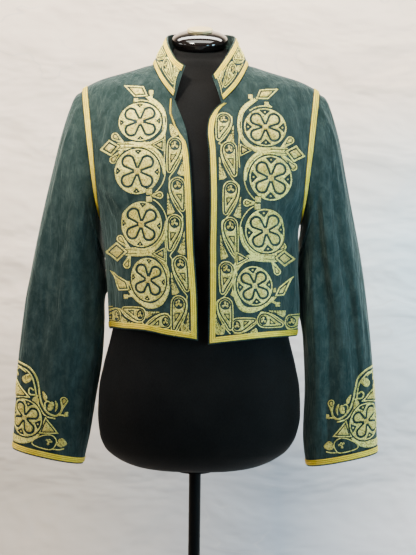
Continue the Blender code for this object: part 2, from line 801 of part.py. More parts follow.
def sleeve_lines(side, v):
    """Outer and inner (x, z) of the sleeve at v, in the front view."""
    found = []
    low, high = sleeve_start()
    outer = (high, SLEEVE_OUTER, ease((0.35 - v) / 0.35))
    inner = (low, SLEEVE_INNER, ease((1 - v) / 0.45))
    for start, line, sway in (outer, inner):
        points = [(hole_x(start) + SEAM, start)] + list(zip(line["x"], line["z"]))
        points = spaced(points, 60)
        x, z = (through(np.linspace(0, 1, 61), column, v) for column in points.T)
        found.append((x + side * through(SWAY["z"], SWAY["shift"], z) * sway, z))
    return found


def hole_depth(z, front):
    """Half depth of the sleeve's first ring at a height."""
    half, ahead, behind = (through(BODY["z"], BODY[word], z) for word in ("half", "front", "back"))
    depth = np.where(front, ahead, behind)
    share = np.clip((hole_x(z) + SEAM) / half, 0, 1)
    return depth * (1 - share**SECTION_POWER) ** (1 / SECTION_POWER)


def sleeve(side, angle, v):
    """A point of a sleeve: angle round it, v from armhole (0) to cuff (1)."""
    angle, v = np.broadcast_arrays(np.asarray(angle, float), np.asarray(v, float))
    (high_x, high_z), (low_x, low_z) = sleeve_lines(side, v)
    reach_x, reach_z = (high_x - low_x) / 2, (high_z - low_z) / 2
    share = np.sign(np.cos(angle)) * np.abs(np.cos(angle)) ** (2 / SLEEVE_POWER)
    front = np.sin(angle) > 0
    low, high = sleeve_start()
    start_depth = hole_depth((low + high) / 2 + (high - low) / 2 * share, front)
    half_depth = through(SLEEVE_DEPTH["v"], SLEEVE_DEPTH["half"], v)
    depth = half_depth * np.abs(np.sin(angle)) ** (2 / SLEEVE_POWER)
    blend = ease(v / HEAD_SHARE)
    depth = (1 - blend) * start_depth + blend * depth
    y = np.where(front, -depth, depth) + through(SLEEVE_DEPTH["v"], SLEEVE_DEPTH["y"], v)
    x = side * ((high_x + low_x) / 2 + reach_x * share)
    point = np.stack([x, y, (high_z + low_z) / 2 + reach_z * share], axis=-1)
    reach = np.hypot(reach_x, reach_z)
    up = np.stack([side * reach_x, 0 * reach, reach_z], axis=-1) / reach[..., None]
    forward = np.array([0, -1, 0]) * (np.sin(angle) / half_depth)[..., None]
    out = unit(up * (np.cos(angle) / reach)[..., None] + forward)
    return point + out * sleeve_folds(side, angle, v)[..., None]


def sleeve_line(side, angle, v):
    """Points and outward normals of a sleeve."""
    near = np.clip(v, 2e-3, 1 - 2e-3)
    out = normals(lambda a, b: sleeve(side, a, b), angle, near, 1e-3, 1e-3) * side
    return sleeve(side, angle, v), out


def above_cuff(side, angle, rise):
    """Sleeve position v at a distance up from the cuff's edge."""
    end, near = sleeve(side, angle, 1.0), sleeve(side, angle, 0.94)
    return 1 - 0.06 * rise / np.linalg.norm(end - near, axis=-1)


def sleeve_angles():
    """Stations round a sleeve: close over the gathered head, wider below the arm."""
    head = np.linspace(-GATHER_SPAN, GATHER_SPAN, HEAD_STEPS + 1)
    rest = np.linspace(GATHER_SPAN, 360 - GATHER_SPAN, UNDER_STEPS + 1)[1:-1]
    return np.radians(np.concatenate([head, rest]))


def in_hole_plane(side, out):
    """Directions turned into the plane of the armhole."""
    x0 = through(BODY["z"], BODY["half"], UNDERARM_Z)
    slope = (SHOULDER_X - x0) / (ridge_z(SHOULDER_X) - UNDERARM_Z)
    across = unit(np.array([side, 0, -slope]))
    return unit(out - across * (out @ across)[..., None])


def make_sleeves():
    shares = np.linspace(0, 1, SLEEVE_RINGS + 1) ** 1.15
    angle, v = np.meshgrid(sleeve_angles(), shares)
    even = np.linspace(0, 2 * math.pi, CUFF_STEPS, endpoint=False)
    for side, word in ((-1, "right"), (1, "left")):
        base, out = sleeve_line(side, angle, v)
        out[0] = in_hole_plane(side, out[0])
        wall(f"sleeve_{word}", base, base - out * CLOTH, "cloth", closed=True)
        rows = [above_cuff(side, even, inset) for inset in across_braid()[::-1]]
        lines = [sleeve_line(side, even, row) for row in rows]
        braid(f"braid_cuff_{word}", [f"sleeve_{word}"], lines, closed=True)


# Raised rosettes


def petal_rise(angle, share):
    """Relief of the petals, over a rosette's middle (0) to its edge (1)."""
    petal = 0.5 + 0.5 * np.cos(PETALS * (angle - math.radians(PETAL_TURN)))
    return np.where((share > 0.1) & (share < 0.8), petal, 0.3)


def rosette(name, panels, place, half_x, half_z):
    """A raised rosette; place gives points and normals of the cloth at offsets from its middle."""
    shares = np.array([0, 0.42, 0.82, 1.0])
    angles = math.radians(PETAL_TURN) + np.linspace(0, 2 * math.pi, 16, endpoint=False)
    angle, share = np.meshgrid(angles, shares)
    base, out = place(half_x * share * np.cos(angle), half_z * share * np.sin(angle))
    height = ROSETTE_THICK + PETAL_RISE * petal_rise(angle, share)
    trim(name, panels, base, out, height, "gold_work", closed=True, apex=True)


def front_place(side, x, z):
    return lambda dx, dz: cloth_line(pairs(angle_at(side, x + dx, z + dz), z + dz))


def cuff_place(side):
    def place(dx, dz):
        angle = math.radians(CUFF_ROSETTE["angle"]) + dx / CUFF_ROSETTE["reach"]
        return sleeve_line(side, angle, above_cuff(side, angle, CUFF_ROSETTE["rise"] + dz))

    return place


def make_rosettes():
    for side, word in ((-1, "right"), (1, "left")):
        for i, (x, z, half_x, half_z) in enumerate(zip(*ROSETTES.values())):
            place = front_place(side, x, z + ROSETTE_DROP[side])
            rosette(f"rosette_{word}_{i + 1}", [f"front_{word}"], place, half_x, half_z)
        half = CUFF_ROSETTE["half"]
        rosette(f"rosette_cuff_{word}", [f"sleeve_{word}"], cuff_place(side), half, half)


# Dress form and stand


def make_form(around=28):
    angles = np.linspace(0, 2 * math.pi, around, endpoint=False)
    angle, z = np.meshgrid(angles, FORM["z"])
    level = np.broadcast_to(FORM["half"][:, None], angle.shape)
    depth = np.where(np.sin(angle) < 0, FORM["front"][:, None], FORM["back"][:, None])
    reach = section_reach(angle, level, depth)
    sway = through(SWAY["z"], SWAY["shift"], z) * FORM_SWAY
    sway = sway * ease((z - 0.79) / 0.1) * ease((1.5 - z) / 0.1)
    y = reach * np.sin(angle)
    slant = ease((z - NECK_SLANT_Z) / (FORM["z"][-1] - NECK_SLANT_Z))
    slant = slant * math.tan(math.radians(CAP_TILT))
    rows = np.stack([reach * np.cos(angle) + sway, y, z + y * slant], axis=-1)
    mesh = bmesh.new()
    rings = [[mesh.verts.new(p) for p in row] for row in rows]
    for corners in skin_faces(len(rings), around, True):
        mesh.faces.new([rings[r][c] for r, c in corners])
    mesh.faces.new(rings[0])
    mesh.faces.new(rings[-1])
    finish("form_torso", mesh, "form_jersey", 60)


def turned(name, profile, slot, steps=32):
    """A turned piece: a profile of (radius, height) run from the axis at the top to the axis at the foot."""
    mesh = bpy.data.meshes.new(name)
    points = [(radius, 0, height) for radius, height in profile]
    mesh.from_pydata(points, [(i, i + 1) for i in range(len(points) - 1)], [])
    obj = add_object(name, mesh, slot)
    screw = obj.modifiers.new("turn", "SCREW")
    screw.axis = "Z"
    screw.angle = 2 * math.pi
    screw.steps = screw.render_steps = steps
    screw.use_merge_vertices = True
    screw.merge_threshold = 0.00005
    screw.use_smooth_shade = True
    return obj


def make_cap():
    """The neck cap and the round plate on it, tilted forward like the top of the neck."""
    low = math.asin(CAP_FLAT / CAP_HALF)
    arc = np.linspace(low, math.pi / 2, 6)
    dome_rise = CAP_RISE * (1 - CAP_WAIST) * np.cos(arc)
    heights = CAP_RISE * CAP_WAIST + dome_rise
    dome = [(0, heights[0])] + list(zip(CAP_HALF * np.sin(arc), heights))
    foot = [(CAP_HALF * 0.95, CAP_RISE * 0.10), (CAP_HALF * 0.90, LIFT), (0, LIFT)]
    cap = turned("neck_cap", dome + foot, "gloss_black", 28)
    low, high = heights[0] + LIFT, heights[0] + LIFT + PLATE_THICK
    soft = 0.0008
    rim = [(CAP_FLAT - soft, high), (CAP_FLAT, high - soft), (CAP_FLAT, low), (0, low)]
    plate = turned("cap_plate", [(0, high)] + rim, "pale_brass", 28)
    for piece in (cap, plate):
        piece.location = (0, 0, CAP_FOOT_Z)
        piece.rotation_euler = (math.radians(CAP_TILT), 0, 0)


def make_stand():
    foot = FORM["z"][0]
    flange = [(0, foot - LIFT), (FLANGE_RADIUS, foot - LIFT), (FLANGE_RADIUS, foot - FLANGE_THICK)]
    turned("form_flange", flange + [(0, foot - FLANGE_THICK)], "stand_black", 24)
    top, low = foot - FLANGE_THICK - LIFT, POLE_FOOT_Z + LIFT
    pole = [(0, top), (POLE_RADIUS, top), (POLE_RADIUS, low), (0, low)]
    turned("pole", pole, "stand_black", 24)
    base = [
        (0, HUB_TOP_Z),
        (HUB_RADIUS - 0.002, HUB_TOP_Z),
        (HUB_RADIUS, HUB_TOP_Z - 0.002),
        (HUB_RADIUS, BASE_THICK + 0.004),
        (HUB_RADIUS + 0.006, BASE_THICK + 0.001),
        (BASE_RADIUS - 0.010, BASE_THICK - 0.003),
        (BASE_RADIUS, BASE_THICK - 0.008),
        (BASE_RADIUS, 0),
        (0, 0),
    ]
    turned("base", base, "stand_black", 40)


# Build


def material(slot, colour, roughness, metallic=0.0):
    made = bpy.data.materials.new(slot)
    made.use_nodes = True
    shader = made.node_tree.nodes["Principled BSDF"]
    shader.inputs["Base Color"].default_value = (*colour, 1)
    shader.inputs["Roughness"].default_value = roughness
    shader.inputs["Metallic"].default_value = metallic
    made.diffuse_color = (*colour, 1)
    return made


for old in list(bpy.data.objects):
    bpy.data.objects.remove(old)
MATERIALS = {
    "cloth": material("cloth", (0.030, 0.085, 0.080), 0.85),
    "braid": material("braid", (0.62, 0.44, 0.10), 0.45, 0.35),
    "gold_work": material("gold_work", (0.66, 0.56, 0.28), 0.55, 0.25),
    "form_jersey": material("form_jersey", (0.010, 0.010, 0.012), 0.75),
    "gloss_black": material("gloss_black", (0.012, 0.010, 0.010), 0.08),
    "pale_brass": material("pale_brass", (0.78, 0.66, 0.38), 0.25, 0.9),
    "stand_black": material("stand_black", (0.010, 0.010, 0.010), 0.35, 0.4),
}
JACKET = bpy.data.collections.new("bolero_jacket_on_dress_form")
SKINS = {}
bpy.context.scene.collection.children.link(JACKET)
make_fronts()
make_back()
make_armhole_braids()
make_collar()
make_sleeves()
make_rosettes()
make_form()
make_cap()
make_stand()
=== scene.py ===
"""Looks of the bolero jacket on its dress form: cloth, braid, gold work, form, stand and light.

Metres, +Z up, the front faces -Y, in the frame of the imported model. The sizes and the surfaces of
the body, collar and sleeves are those of the part, read at finer steps and with finer creases.
"""

import json
import math

import bpy
import numpy as np
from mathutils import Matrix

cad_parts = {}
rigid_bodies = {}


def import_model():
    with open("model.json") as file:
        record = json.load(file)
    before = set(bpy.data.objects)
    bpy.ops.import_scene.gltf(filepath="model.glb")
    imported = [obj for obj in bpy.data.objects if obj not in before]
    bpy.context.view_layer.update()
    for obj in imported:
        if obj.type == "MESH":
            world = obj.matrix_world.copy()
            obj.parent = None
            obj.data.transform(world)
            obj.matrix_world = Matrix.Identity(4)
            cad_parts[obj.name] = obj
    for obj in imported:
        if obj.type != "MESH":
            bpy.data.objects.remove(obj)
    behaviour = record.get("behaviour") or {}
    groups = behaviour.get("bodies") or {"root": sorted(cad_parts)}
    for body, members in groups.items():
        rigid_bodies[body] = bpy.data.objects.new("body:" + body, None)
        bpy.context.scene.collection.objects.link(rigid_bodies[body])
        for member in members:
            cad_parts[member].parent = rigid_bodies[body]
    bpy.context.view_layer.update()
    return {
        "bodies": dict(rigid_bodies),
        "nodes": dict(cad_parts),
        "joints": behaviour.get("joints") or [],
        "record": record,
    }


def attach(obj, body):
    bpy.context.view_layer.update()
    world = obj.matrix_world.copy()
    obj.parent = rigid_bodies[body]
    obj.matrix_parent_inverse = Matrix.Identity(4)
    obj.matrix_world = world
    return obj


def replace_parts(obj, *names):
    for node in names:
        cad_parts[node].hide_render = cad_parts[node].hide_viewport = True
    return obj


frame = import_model()


def table(columns, *rows):
    """A short table: one array for each named column."""
    return dict(zip(columns.split(), np.array(rows, float).T))


# Cloth, seams and braid
CLOTH = 0.0022
SEAM = 0.0004
BRAID_WIDTH = 0.0088
BRAID_INSET = 0.0022
SECTION_POWER = 2.4

# Steps of the panels' grids
FRONT_STEPS = 66
EDGE_STEPS = 84
SIDE_STEPS = 48
ROW_Z = 1.236
NECK_FRONT_STEPS = 36
NECK_BACK_STEPS = 30
BACK_SHOULDER_STEPS = 40
BACK_ROWS = 108
SLEEVE_RINGS = 150
HEAD_STEPS = 72
UNDER_STEPS = 70

# The jacket's body, section by section up the figure
BODY = table(
    "z half front back",
    (1.005, 0.157, 0.123, 0.108), (1.06, 0.161, 0.126, 0.1045), (1.12, 0.1625, 0.1285, 0.103),
    (1.17, 0.1628, 0.1305, 0.106), (1.195, 0.164, 0.1312, 0.1085), (1.211, 0.167, 0.1312, 0.11),
    (1.221, 0.1705, 0.131, 0.111), (1.24, 0.181, 0.1302, 0.113), (1.262, 0.192, 0.1282, 0.115),
    (1.3, 0.205, 0.123, 0.117), (1.35, 0.2125, 0.112, 0.115), (1.4, 0.211, 0.0965, 0.1045),
    (1.4335, 0.201, 0.083, 0.0915), (1.4423, 0.188, 0.0785, 0.087),
    (1.4506, 0.1705, 0.074, 0.0825), (1.456, 0.153, 0.071, 0.0795), (1.461, 0.135, 0.068, 0.0765),
    (1.466, 0.118, 0.065, 0.0735), (1.472, 0.1, 0.061, 0.07), (1.477, 0.081, 0.0575, 0.066),
    (1.492, 0.07, 0.05, 0.06),
)
SWAY = table(
    "z shift",
    (1.005, 0.012), (1.08, 0.011), (1.18, 0.0055), (1.3, 0.004), (1.5, 0.002),
)

# Where the panels are cut, for the wearer's right (-1) and left (+1)
EDGE = {
    -1: table(
        "z x",
        (1.0197, 0.008), (1.1, 0.009), (1.242, 0.012), (1.321, 0.0175), (1.353, 0.022),
        (1.379, 0.03), (1.4, 0.0385), (1.411, 0.0425),
    ),
    1: table(
        "z x",
        (1.0133, 0.008), (1.085, 0.0095), (1.164, 0.0136), (1.242, 0.0155), (1.321, 0.0135),
        (1.353, 0.0105), (1.372, 0.0125), (1.386, 0.019), (1.396, 0.027), (1.402, 0.0345),
    ),
}
NECKLINE = table("x z", (0.056, 1.426), (0.0672, 1.4435), (0.0752, 1.461), (0.081, 1.477))
BACK_NECK_Z = 1.49
HEM = {
    -1: table("u z", (0, 1.0197), (0.25, 1.0265), (0.45, 1.034), (0.75, 1.035), (1, 1.031)),
    1: table("u z", (0, 1.0133), (0.25, 1.019), (0.5, 1.0235), (0.75, 1.0245), (1, 1.024)),
}
SHOULDER_X = 0.201
UNDERARM_Z = 1.221
# The shoulder line lies above this height, where the body only narrows
RIDGE_FROM_Z = 1.42
# Calm cloth by a seam: how far from the side (as a sine) and from the armhole the folds start
CALM_SINE = 0.3
CALM_HOLE = 0.02
CALM_CLEAR = 0.008

# Soft folds of the body: a ridge or trough that runs from one place to another over the cloth
BODY_FOLDS = table(
    "side x0 z0 x1 z1 width height",
    (-1, 0.146, 1.275, 0.118, 1.215, 0.008, 0.0032),
    (-1, 0.16, 1.235, 0.146, 1.16, 0.0075, 0.003),
    (-1, 0.15, 1.165, 0.146, 1.06, 0.01, -0.0022),
    (-1, 0.075, 1.06, 0.095, 1.03, 0.016, 0.003),
    (1, 0.16, 1.29, 0.15, 1.215, 0.0085, 0.0035),
    (1, 0.148, 1.25, 0.132, 1.19, 0.008, -0.0028),
    (1, 0.156, 1.18, 0.15, 1.06, 0.011, 0.0025),
    (1, 0.11, 1.075, 0.12, 1.03, 0.015, -0.0024),
    # Creases that only the picture needs, finer than the part's folds
    (-1, 0.152, 1.262, 0.128, 1.234, 0.0034, 0.0029),
    (-1, 0.16, 1.25, 0.14, 1.205, 0.0034, -0.0029),
    (-1, 0.163, 1.222, 0.152, 1.15, 0.004, 0.003),
    (-1, 0.158, 1.305, 0.138, 1.29, 0.004, 0.0021),
    (-1, 0.148, 1.118, 0.153, 1.036, 0.0048, -0.0027),
    (-1, 0.128, 1.226, 0.108, 1.246, 0.004, -0.0021),
    (-1, 0.176, 1.4, 0.16, 1.352, 0.006, -0.0021),
    (-1, 0.12, 1.08, 0.128, 1.032, 0.005, 0.0019),
    (1, 0.164, 1.276, 0.14, 1.24, 0.0036, 0.0032),
    (1, 0.159, 1.248, 0.142, 1.19, 0.004, -0.0032),
    (1, 0.168, 1.226, 0.157, 1.15, 0.0038, 0.0027),
    (1, 0.15, 1.14, 0.155, 1.058, 0.005, 0.0027),
    (1, 0.188, 1.365, 0.165, 1.33, 0.006, -0.0019),
    (1, 0.132, 1.212, 0.116, 1.232, 0.004, 0.0019),
    (1, 0.142, 1.075, 0.136, 1.03, 0.005, -0.0021),
    (1, 0.166, 1.2, 0.16, 1.12, 0.0036, -0.0024),
)
BACK_FOLDS = table(
    "side x0 z0 x1 z1 width height",
    (-1, 0.15, 1.26, 0.105, 1.19, 0.012, 0.0035),
    (-1, 0.12, 1.33, 0.09, 1.2, 0.015, -0.0025),
    (-1, 0.07, 1.15, 0.08, 1.03, 0.018, 0.004),
    (1, 0.152, 1.255, 0.11, 1.18, 0.012, 0.0035),
    (1, 0.02, 1.2, 0.03, 1.03, 0.02, -0.0035),
    (1, 0.095, 1.16, 0.11, 1.03, 0.017, 0.004),
    # Creases that only the picture needs, finer than the part's folds
    (-1, 0.16, 1.27, 0.13, 1.235, 0.005, 0.0018),
    (-1, 0.15, 1.24, 0.128, 1.18, 0.0055, -0.002),
    (-1, 0.1, 1.42, 0.07, 1.33, 0.009, -0.0014),
    (-1, 0.04, 1.14, 0.046, 1.035, 0.008, 0.0018),
    (-1, 0.12, 1.13, 0.126, 1.04, 0.007, -0.002),
    (1, 0.164, 1.265, 0.134, 1.225, 0.005, -0.0018),
    (1, 0.154, 1.23, 0.126, 1.17, 0.006, 0.0021),
    (1, 0.085, 1.4, 0.06, 1.3, 0.01, 0.0014),
    (1, 0.058, 1.16, 0.064, 1.04, 0.008, -0.0018),
    (1, 0.13, 1.12, 0.138, 1.036, 0.006, 0.002),
)
ROLL_Z = 1.335
ROLL_IN = 0.006
ROLL_WIDTH = 0.012

# Collar, from each front tip over the side of the neck to the middle of the back
COLLAR_TOP = {
    -1: table(
        "c x y z",
        (0, 0.025, -0.082, 1.4643), (0.14, 0.0385, -0.078, 1.474), (0.28, 0.0487, -0.064, 1.4915),
        (0.42, 0.056, -0.037, 1.5124), (0.56, 0.058, -0.002, 1.529), (0.78, 0.044, 0.038, 1.542),
        (1, 0.0, 0.054, 1.546),
    ),
    1: table(
        "c x y z",
        (0, 0.0185, -0.085, 1.447), (0.14, 0.033, -0.081, 1.468), (0.28, 0.044, -0.068, 1.487),
        (0.42, 0.0535, -0.044, 1.508), (0.56, 0.058, -0.005, 1.528), (0.78, 0.044, 0.038, 1.542),
        (1, 0.0, 0.054, 1.546),
    ),
}
COLLAR_SIDE = 0.5
COLLAR_BOW = 0.002
COLLAR_BRAIDS = (("braid_collar_foot", 0.03, 0.2), ("braid_collar_top", 0.79, 0.965))

# Sleeves: the outer and the inner line that the front view shows, from armhole to cuff
SLEEVE_OUTER = table(
    "x z",
    (0.212, 1.4245), (0.22, 1.408), (0.229, 1.38), (0.2365, 1.353), (0.2475, 1.303),
    (0.2585, 1.252), (0.269, 1.201), (0.2785, 1.15), (0.286, 1.099), (0.292, 1.048),
    (0.297, 0.997), (0.301, 0.946), (0.3045, 0.895), (0.3077, 0.83),
)
SLEEVE_INNER = table(
    "x z",
    (0.1765, 1.211), (0.1765, 1.19), (0.1735, 1.15), (0.17, 1.105), (0.1685, 1.05),
    (0.1705, 0.997), (0.1765, 0.92), (0.1795, 0.861), (0.184, 0.827), (0.1885, 0.805),
)
SLEEVE_DEPTH = table(
    "v half y",
    (0, 0.068, 0.0), (0.15, 0.066, 0.002), (0.35, 0.06, 0.004), (0.6, 0.052, 0.0),
    (0.8, 0.045, -0.007), (1, 0.038, -0.014),
)
SLEEVE_POWER = 2.2
LINE_STEPS = 60
HEAD_SHARE = 0.16
CUFF_SPAN = 0.06
# Angles round a sleeve: 0 outside, 90 front, 180 next to the body, 270 back
SLEEVE_FOLDS = {
    -1: table(
        "start end a0 a1 width depth",
        (0.02, 0.95, 96, 88, 9, 0.0046),
        (0.05, 0.8, 70, 58, 12, -0.004),
        (0.25, 0.95, 36, 30, 11, 0.0034),
        (0.1, 0.9, 122, 128, 13, -0.0052),
        (0.1, 0.7, 250, 262, 12, 0.0052),
        (0.2, 0.9, 292, 300, 14, -0.0052),
        (0.35, 1.0, 325, 330, 12, 0.0034),
        # Creases that only the picture needs, finer than the part's folds
        (0.0, 0.36, 192, 192, 34, 0.0085),
        (0.0, 0.38, 206, 204, 26, 0.008),
        (0.0, 0.08, 196, 196, 40, 0.021),
        (0.0, 0.18, 194, 194, 38, 0.015),
        (0.0, 0.32, 192, 190, 30, 0.0115),
        (0.12, 0.7, 84, 74, 4.6, -0.0029),
        (0.3, 0.99, 104, 112, 5.0, 0.0032),
        (0.04, 0.42, 48, 40, 5.0, 0.0029),
        (0.45, 0.97, 64, 71, 5.2, -0.0029),
        (0.1, 0.5, 20, 15, 6.0, -0.0027),
        (0.55, 1.0, 140, 132, 6.0, 0.0034),
        (0.3, 0.82, 150, 158, 7.0, -0.0037),
        (0.6, 0.98, 82, 90, 4.4, 0.0024),
        (0.05, 0.3, 118, 104, 5.0, 0.0037),
        (0.5, 0.92, 12, 18, 7.0, 0.0031),
        (0.15, 0.75, 275, 268, 6.0, -0.0034),
        (0.4, 0.95, 310, 305, 7.0, 0.0037),
        (0.1, 0.55, 338, 344, 6.0, -0.0031),
    ),
    1: table(
        "start end a0 a1 width depth",
        (0.02, 0.72, 112, 100, 10, -0.0075),
        (0.1, 0.95, 92, 84, 9, 0.0061),
        (0.06, 0.8, 74, 70, 9, -0.0061),
        (0.15, 0.9, 55, 50, 10, 0.0051),
        (0.12, 1.0, 134, 128, 12, 0.0058),
        (0.1, 0.75, 255, 265, 12, 0.0065),
        (0.25, 0.95, 288, 296, 13, -0.0072),
        (0.3, 0.85, 322, 318, 12, 0.0046),
        # Creases that only the picture needs, finer than the part's folds
        (0.0, 0.5, 192, 192, 34, 0.0095),
        (0.0, 0.44, 206, 204, 26, 0.008),
        (0.0, 0.08, 196, 196, 40, 0.023),
        (0.0, 0.18, 194, 194, 38, 0.014),
        (0.0, 0.36, 192, 190, 30, 0.0115),
        (0.06, 0.55, 102, 92, 4.4, 0.0048),
        (0.2, 0.85, 82, 78, 4.6, 0.0036),
        (0.35, 0.98, 66, 60, 5.0, -0.0038),
        (0.04, 0.38, 46, 40, 5.0, 0.0034),
        (0.5, 0.99, 108, 114, 5.0, -0.0036),
        (0.28, 0.8, 146, 154, 7.0, 0.0044),
        (0.1, 0.48, 24, 20, 6.0, -0.0032),
        (0.62, 1.0, 90, 96, 4.4, 0.003),
        (0.55, 0.95, 36, 30, 5.4, 0.0034),
        (0.2, 0.8, 272, 278, 6.0, -0.0042),
        (0.45, 0.97, 306, 312, 7.0, 0.0044),
        (0.08, 0.52, 340, 335, 6.0, 0.0036),
    ),
}
GATHERS = 5
GATHER_SPAN = 62
GATHER_DEPTH = 0.0016
GATHER_REACH = 0.1


# Dress form and stand
FORM = table(
    "z half front back",
    (0.7963, 0.06, 0.04, 0.04), (0.799, 0.086, 0.06, 0.058), (0.806, 0.113, 0.08, 0.077),
    (0.818, 0.137, 0.097, 0.092), (0.833, 0.155, 0.109, 0.103), (0.855, 0.166, 0.117, 0.11),
    (0.89, 0.1712, 0.121, 0.114), (0.93, 0.17, 0.119, 0.114), (0.97, 0.163, 0.112, 0.108),
    (1.015, 0.152, 0.104, 0.098), (1.06, 0.143, 0.099, 0.09), (1.1, 0.14, 0.1, 0.087),
    (1.15, 0.145, 0.11, 0.092), (1.2, 0.153, 0.1205, 0.099), (1.24, 0.159, 0.1215, 0.104),
    (1.3, 0.166, 0.111, 0.107), (1.35, 0.171, 0.0985, 0.104), (1.4, 0.172, 0.0815, 0.0915),
    (1.427, 0.169, 0.07, 0.08), (1.4392, 0.161, 0.064, 0.074), (1.4492, 0.144, 0.06, 0.069),
    (1.4552, 0.126, 0.0575, 0.066), (1.4612, 0.106, 0.0555, 0.063), (1.4679, 0.084, 0.053, 0.06),
    (1.479, 0.064, 0.0505, 0.055), (1.492, 0.053, 0.048, 0.05), (1.511, 0.044, 0.043, 0.043),
)
FORM_SWAY = 0.5
NECK_SLANT_Z = 1.47
CAP_HALF = 0.048
CAP_FOOT_Z = 1.511
CAP_RISE = 0.029
CAP_WAIST = 0.4
CAP_TILT = 24
CAP_FLAT = 0.0215


# Curves


def through(keys, values, at):
    """Smooth curve through the points of a table, without overshoot."""
    step = np.diff(keys)
    slope = np.diff(values) / step
    both = slope[:-1] + slope[1:]
    same = slope[:-1] * slope[1:] > 0
    inner = np.where(same, 2 * slope[:-1] * slope[1:] / np.where(same, both, 1), 0)
    tangent = np.concatenate([slope[:1], inner, slope[-1:]])
    at = np.clip(at, keys[0], keys[-1])
    i = np.clip(np.searchsorted(keys, at) - 1, 0, len(step) - 1)
    f = (at - keys[i]) / step[i]
    low = (1 + 2 * f) * (1 - f) ** 2 * values[i] + f * (1 - f) ** 2 * step[i] * tangent[i]
    high = f * f * (3 - 2 * f) * values[i + 1] + f * f * (f - 1) * step[i] * tangent[i + 1]
    return low + high


def ease(x):
    """Smooth step from 0 to 1."""
    x = np.clip(x, 0, 1)
    return x * x * (3 - 2 * x)


def unit(vectors):
    return vectors / np.linalg.norm(vectors, axis=-1, keepdims=True)


def spaced(points, count):
    """A line of points read again at even spacing along its length, as count steps."""
    points = np.asarray(points, float)
    length = np.concatenate([[0], np.cumsum(np.linalg.norm(np.diff(points, axis=0), axis=1))])
    at = np.linspace(0, length[-1], count + 1)
    return np.stack([through(length, column, at) for column in points.T], axis=-1)


# The worn shape of the body


def section_reach(angle, half, depth):
    """Distance from the axis to a rounded section at an angle."""
    across = np.abs(np.cos(angle) / half) ** SECTION_POWER
    along = np.abs(np.sin(angle) / depth) ** SECTION_POWER
    return (across + along) ** (-1 / SECTION_POWER)


def plain_body(angle, z):
    """A point of the jacket's outside without folds."""
    front = through(BODY["z"], BODY["front"], z)
    back = through(BODY["z"], BODY["back"], z)
    depth = np.where(np.sin(angle) < 0, front, back)
    reach = section_reach(angle, through(BODY["z"], BODY["half"], z), depth)
    x = reach * np.cos(angle) + through(SWAY["z"], SWAY["shift"], z)
    return np.stack([x, reach * np.sin(angle), z + 0 * x], axis=-1)


def fold_height(folds, side, x, z):
    """Height of the soft folds at a place, from a table of fold lines."""
    height = 0 * x
    for own, x0, z0, x1, z1, width, rise in zip(*folds.values()):
        run_x, run_z = x1 - x0, z1 - z0
        off_x, off_z = np.abs(x) - x0, z - z0
        length = math.hypot(run_x, run_z)
        along = (off_x * run_x + off_z * run_z) / length**2
        across = (off_x * run_z - off_z * run_x) / length
        ends = ease((along + 0.35) / 0.5) * ease((1.35 - along) / 0.5)
        bump = np.exp(-((across / width) ** 2)) * ends
        height = height + np.where(side == own, rise * bump, 0)
    return height


def seam_calm(angle, z):
    """0 at a side, shoulder or armhole seam, 1 on the open cloth, so that seams stay closed."""
    off_side = ease(np.abs(np.sin(angle)) / CALM_SINE)
    to_armhole = hole_x(z) - np.abs(plain_body(angle, z)[..., 0])
    above = ease((z - UNDERARM_Z) / CALM_HOLE + 0.5)
    return off_side * (1 - above * (1 - ease((to_armhole - CALM_CLEAR) / CALM_HOLE)))


def body_rise(angle, z):
    """How far the cloth stands off its plain shape."""
    place = plain_body(angle, z)
    x = place[..., 0] - through(SWAY["z"], SWAY["shift"], z)
    side = np.where(x < 0, -1, 1)
    front, back = (fold_height(folds, side, x, z) for folds in (BODY_FOLDS, BACK_FOLDS))
    rise = np.where(np.sin(angle) < 0, front, back) * seam_calm(angle, z)
    from_edge = np.abs(x) - through(EDGE[-1]["z"], EDGE[-1]["x"], z)
    turned = ease((z - ROLL_Z) / 0.04) * np.exp(-((np.maximum(from_edge, 0) / ROLL_WIDTH) ** 2))
    return rise - np.where((np.sin(angle) < 0) & (x < 0), ROLL_IN * turned, 0)


def normals(shape, a, b, step_a=1e-4, step_b=1e-4):
    """Outward unit normals of a surface given as a function of two numbers."""
    along_a = shape(a + step_a, b) - shape(a - step_a, b)
    along_b = shape(a, b + step_b) - shape(a, b - step_b)
    return unit(np.cross(along_a, along_b))


def body(angle, z):
    """A point of the jacket's outside, folds included."""
    return plain_body(angle, z) + normals(plain_body, angle, z) * body_rise(angle, z)[..., None]


def angle_at(side, x, z, front=True):
    """The angle at which the section at height z reaches x, on one side of the front or back."""
    half = through(BODY["z"], BODY["half"], z)
    depth = through(BODY["z"], BODY["front" if front else "back"], z)
    share = np.clip(x / half, 0, 1)
    turn = np.arctan2(depth * (1 - share**SECTION_POWER) ** (1 / SECTION_POWER), half * share)
    return turned_angle(side, turn, front)


def turned_angle(side, turn, front=True):
    """Turn counts from the side seam (0) to the middle of the front or back (90 degrees)."""
    angle = turn if side > 0 else math.pi - turn
    return -angle if front else angle


def ridge_z(x):
    """Height of the shoulder line at x."""
    z = np.linspace(RIDGE_FROM_Z, BODY["z"][-1], 400)
    half = through(BODY["z"], BODY["half"], z)
    return np.interp(-x, -half, z)


def hole_x(z):
    """The armhole's straight cut in the front view."""
    x0 = through(BODY["z"], BODY["half"], UNDERARM_Z)
    return x0 + (SHOULDER_X - x0) * (z - UNDERARM_Z) / (ridge_z(SHOULDER_X) - UNDERARM_Z)


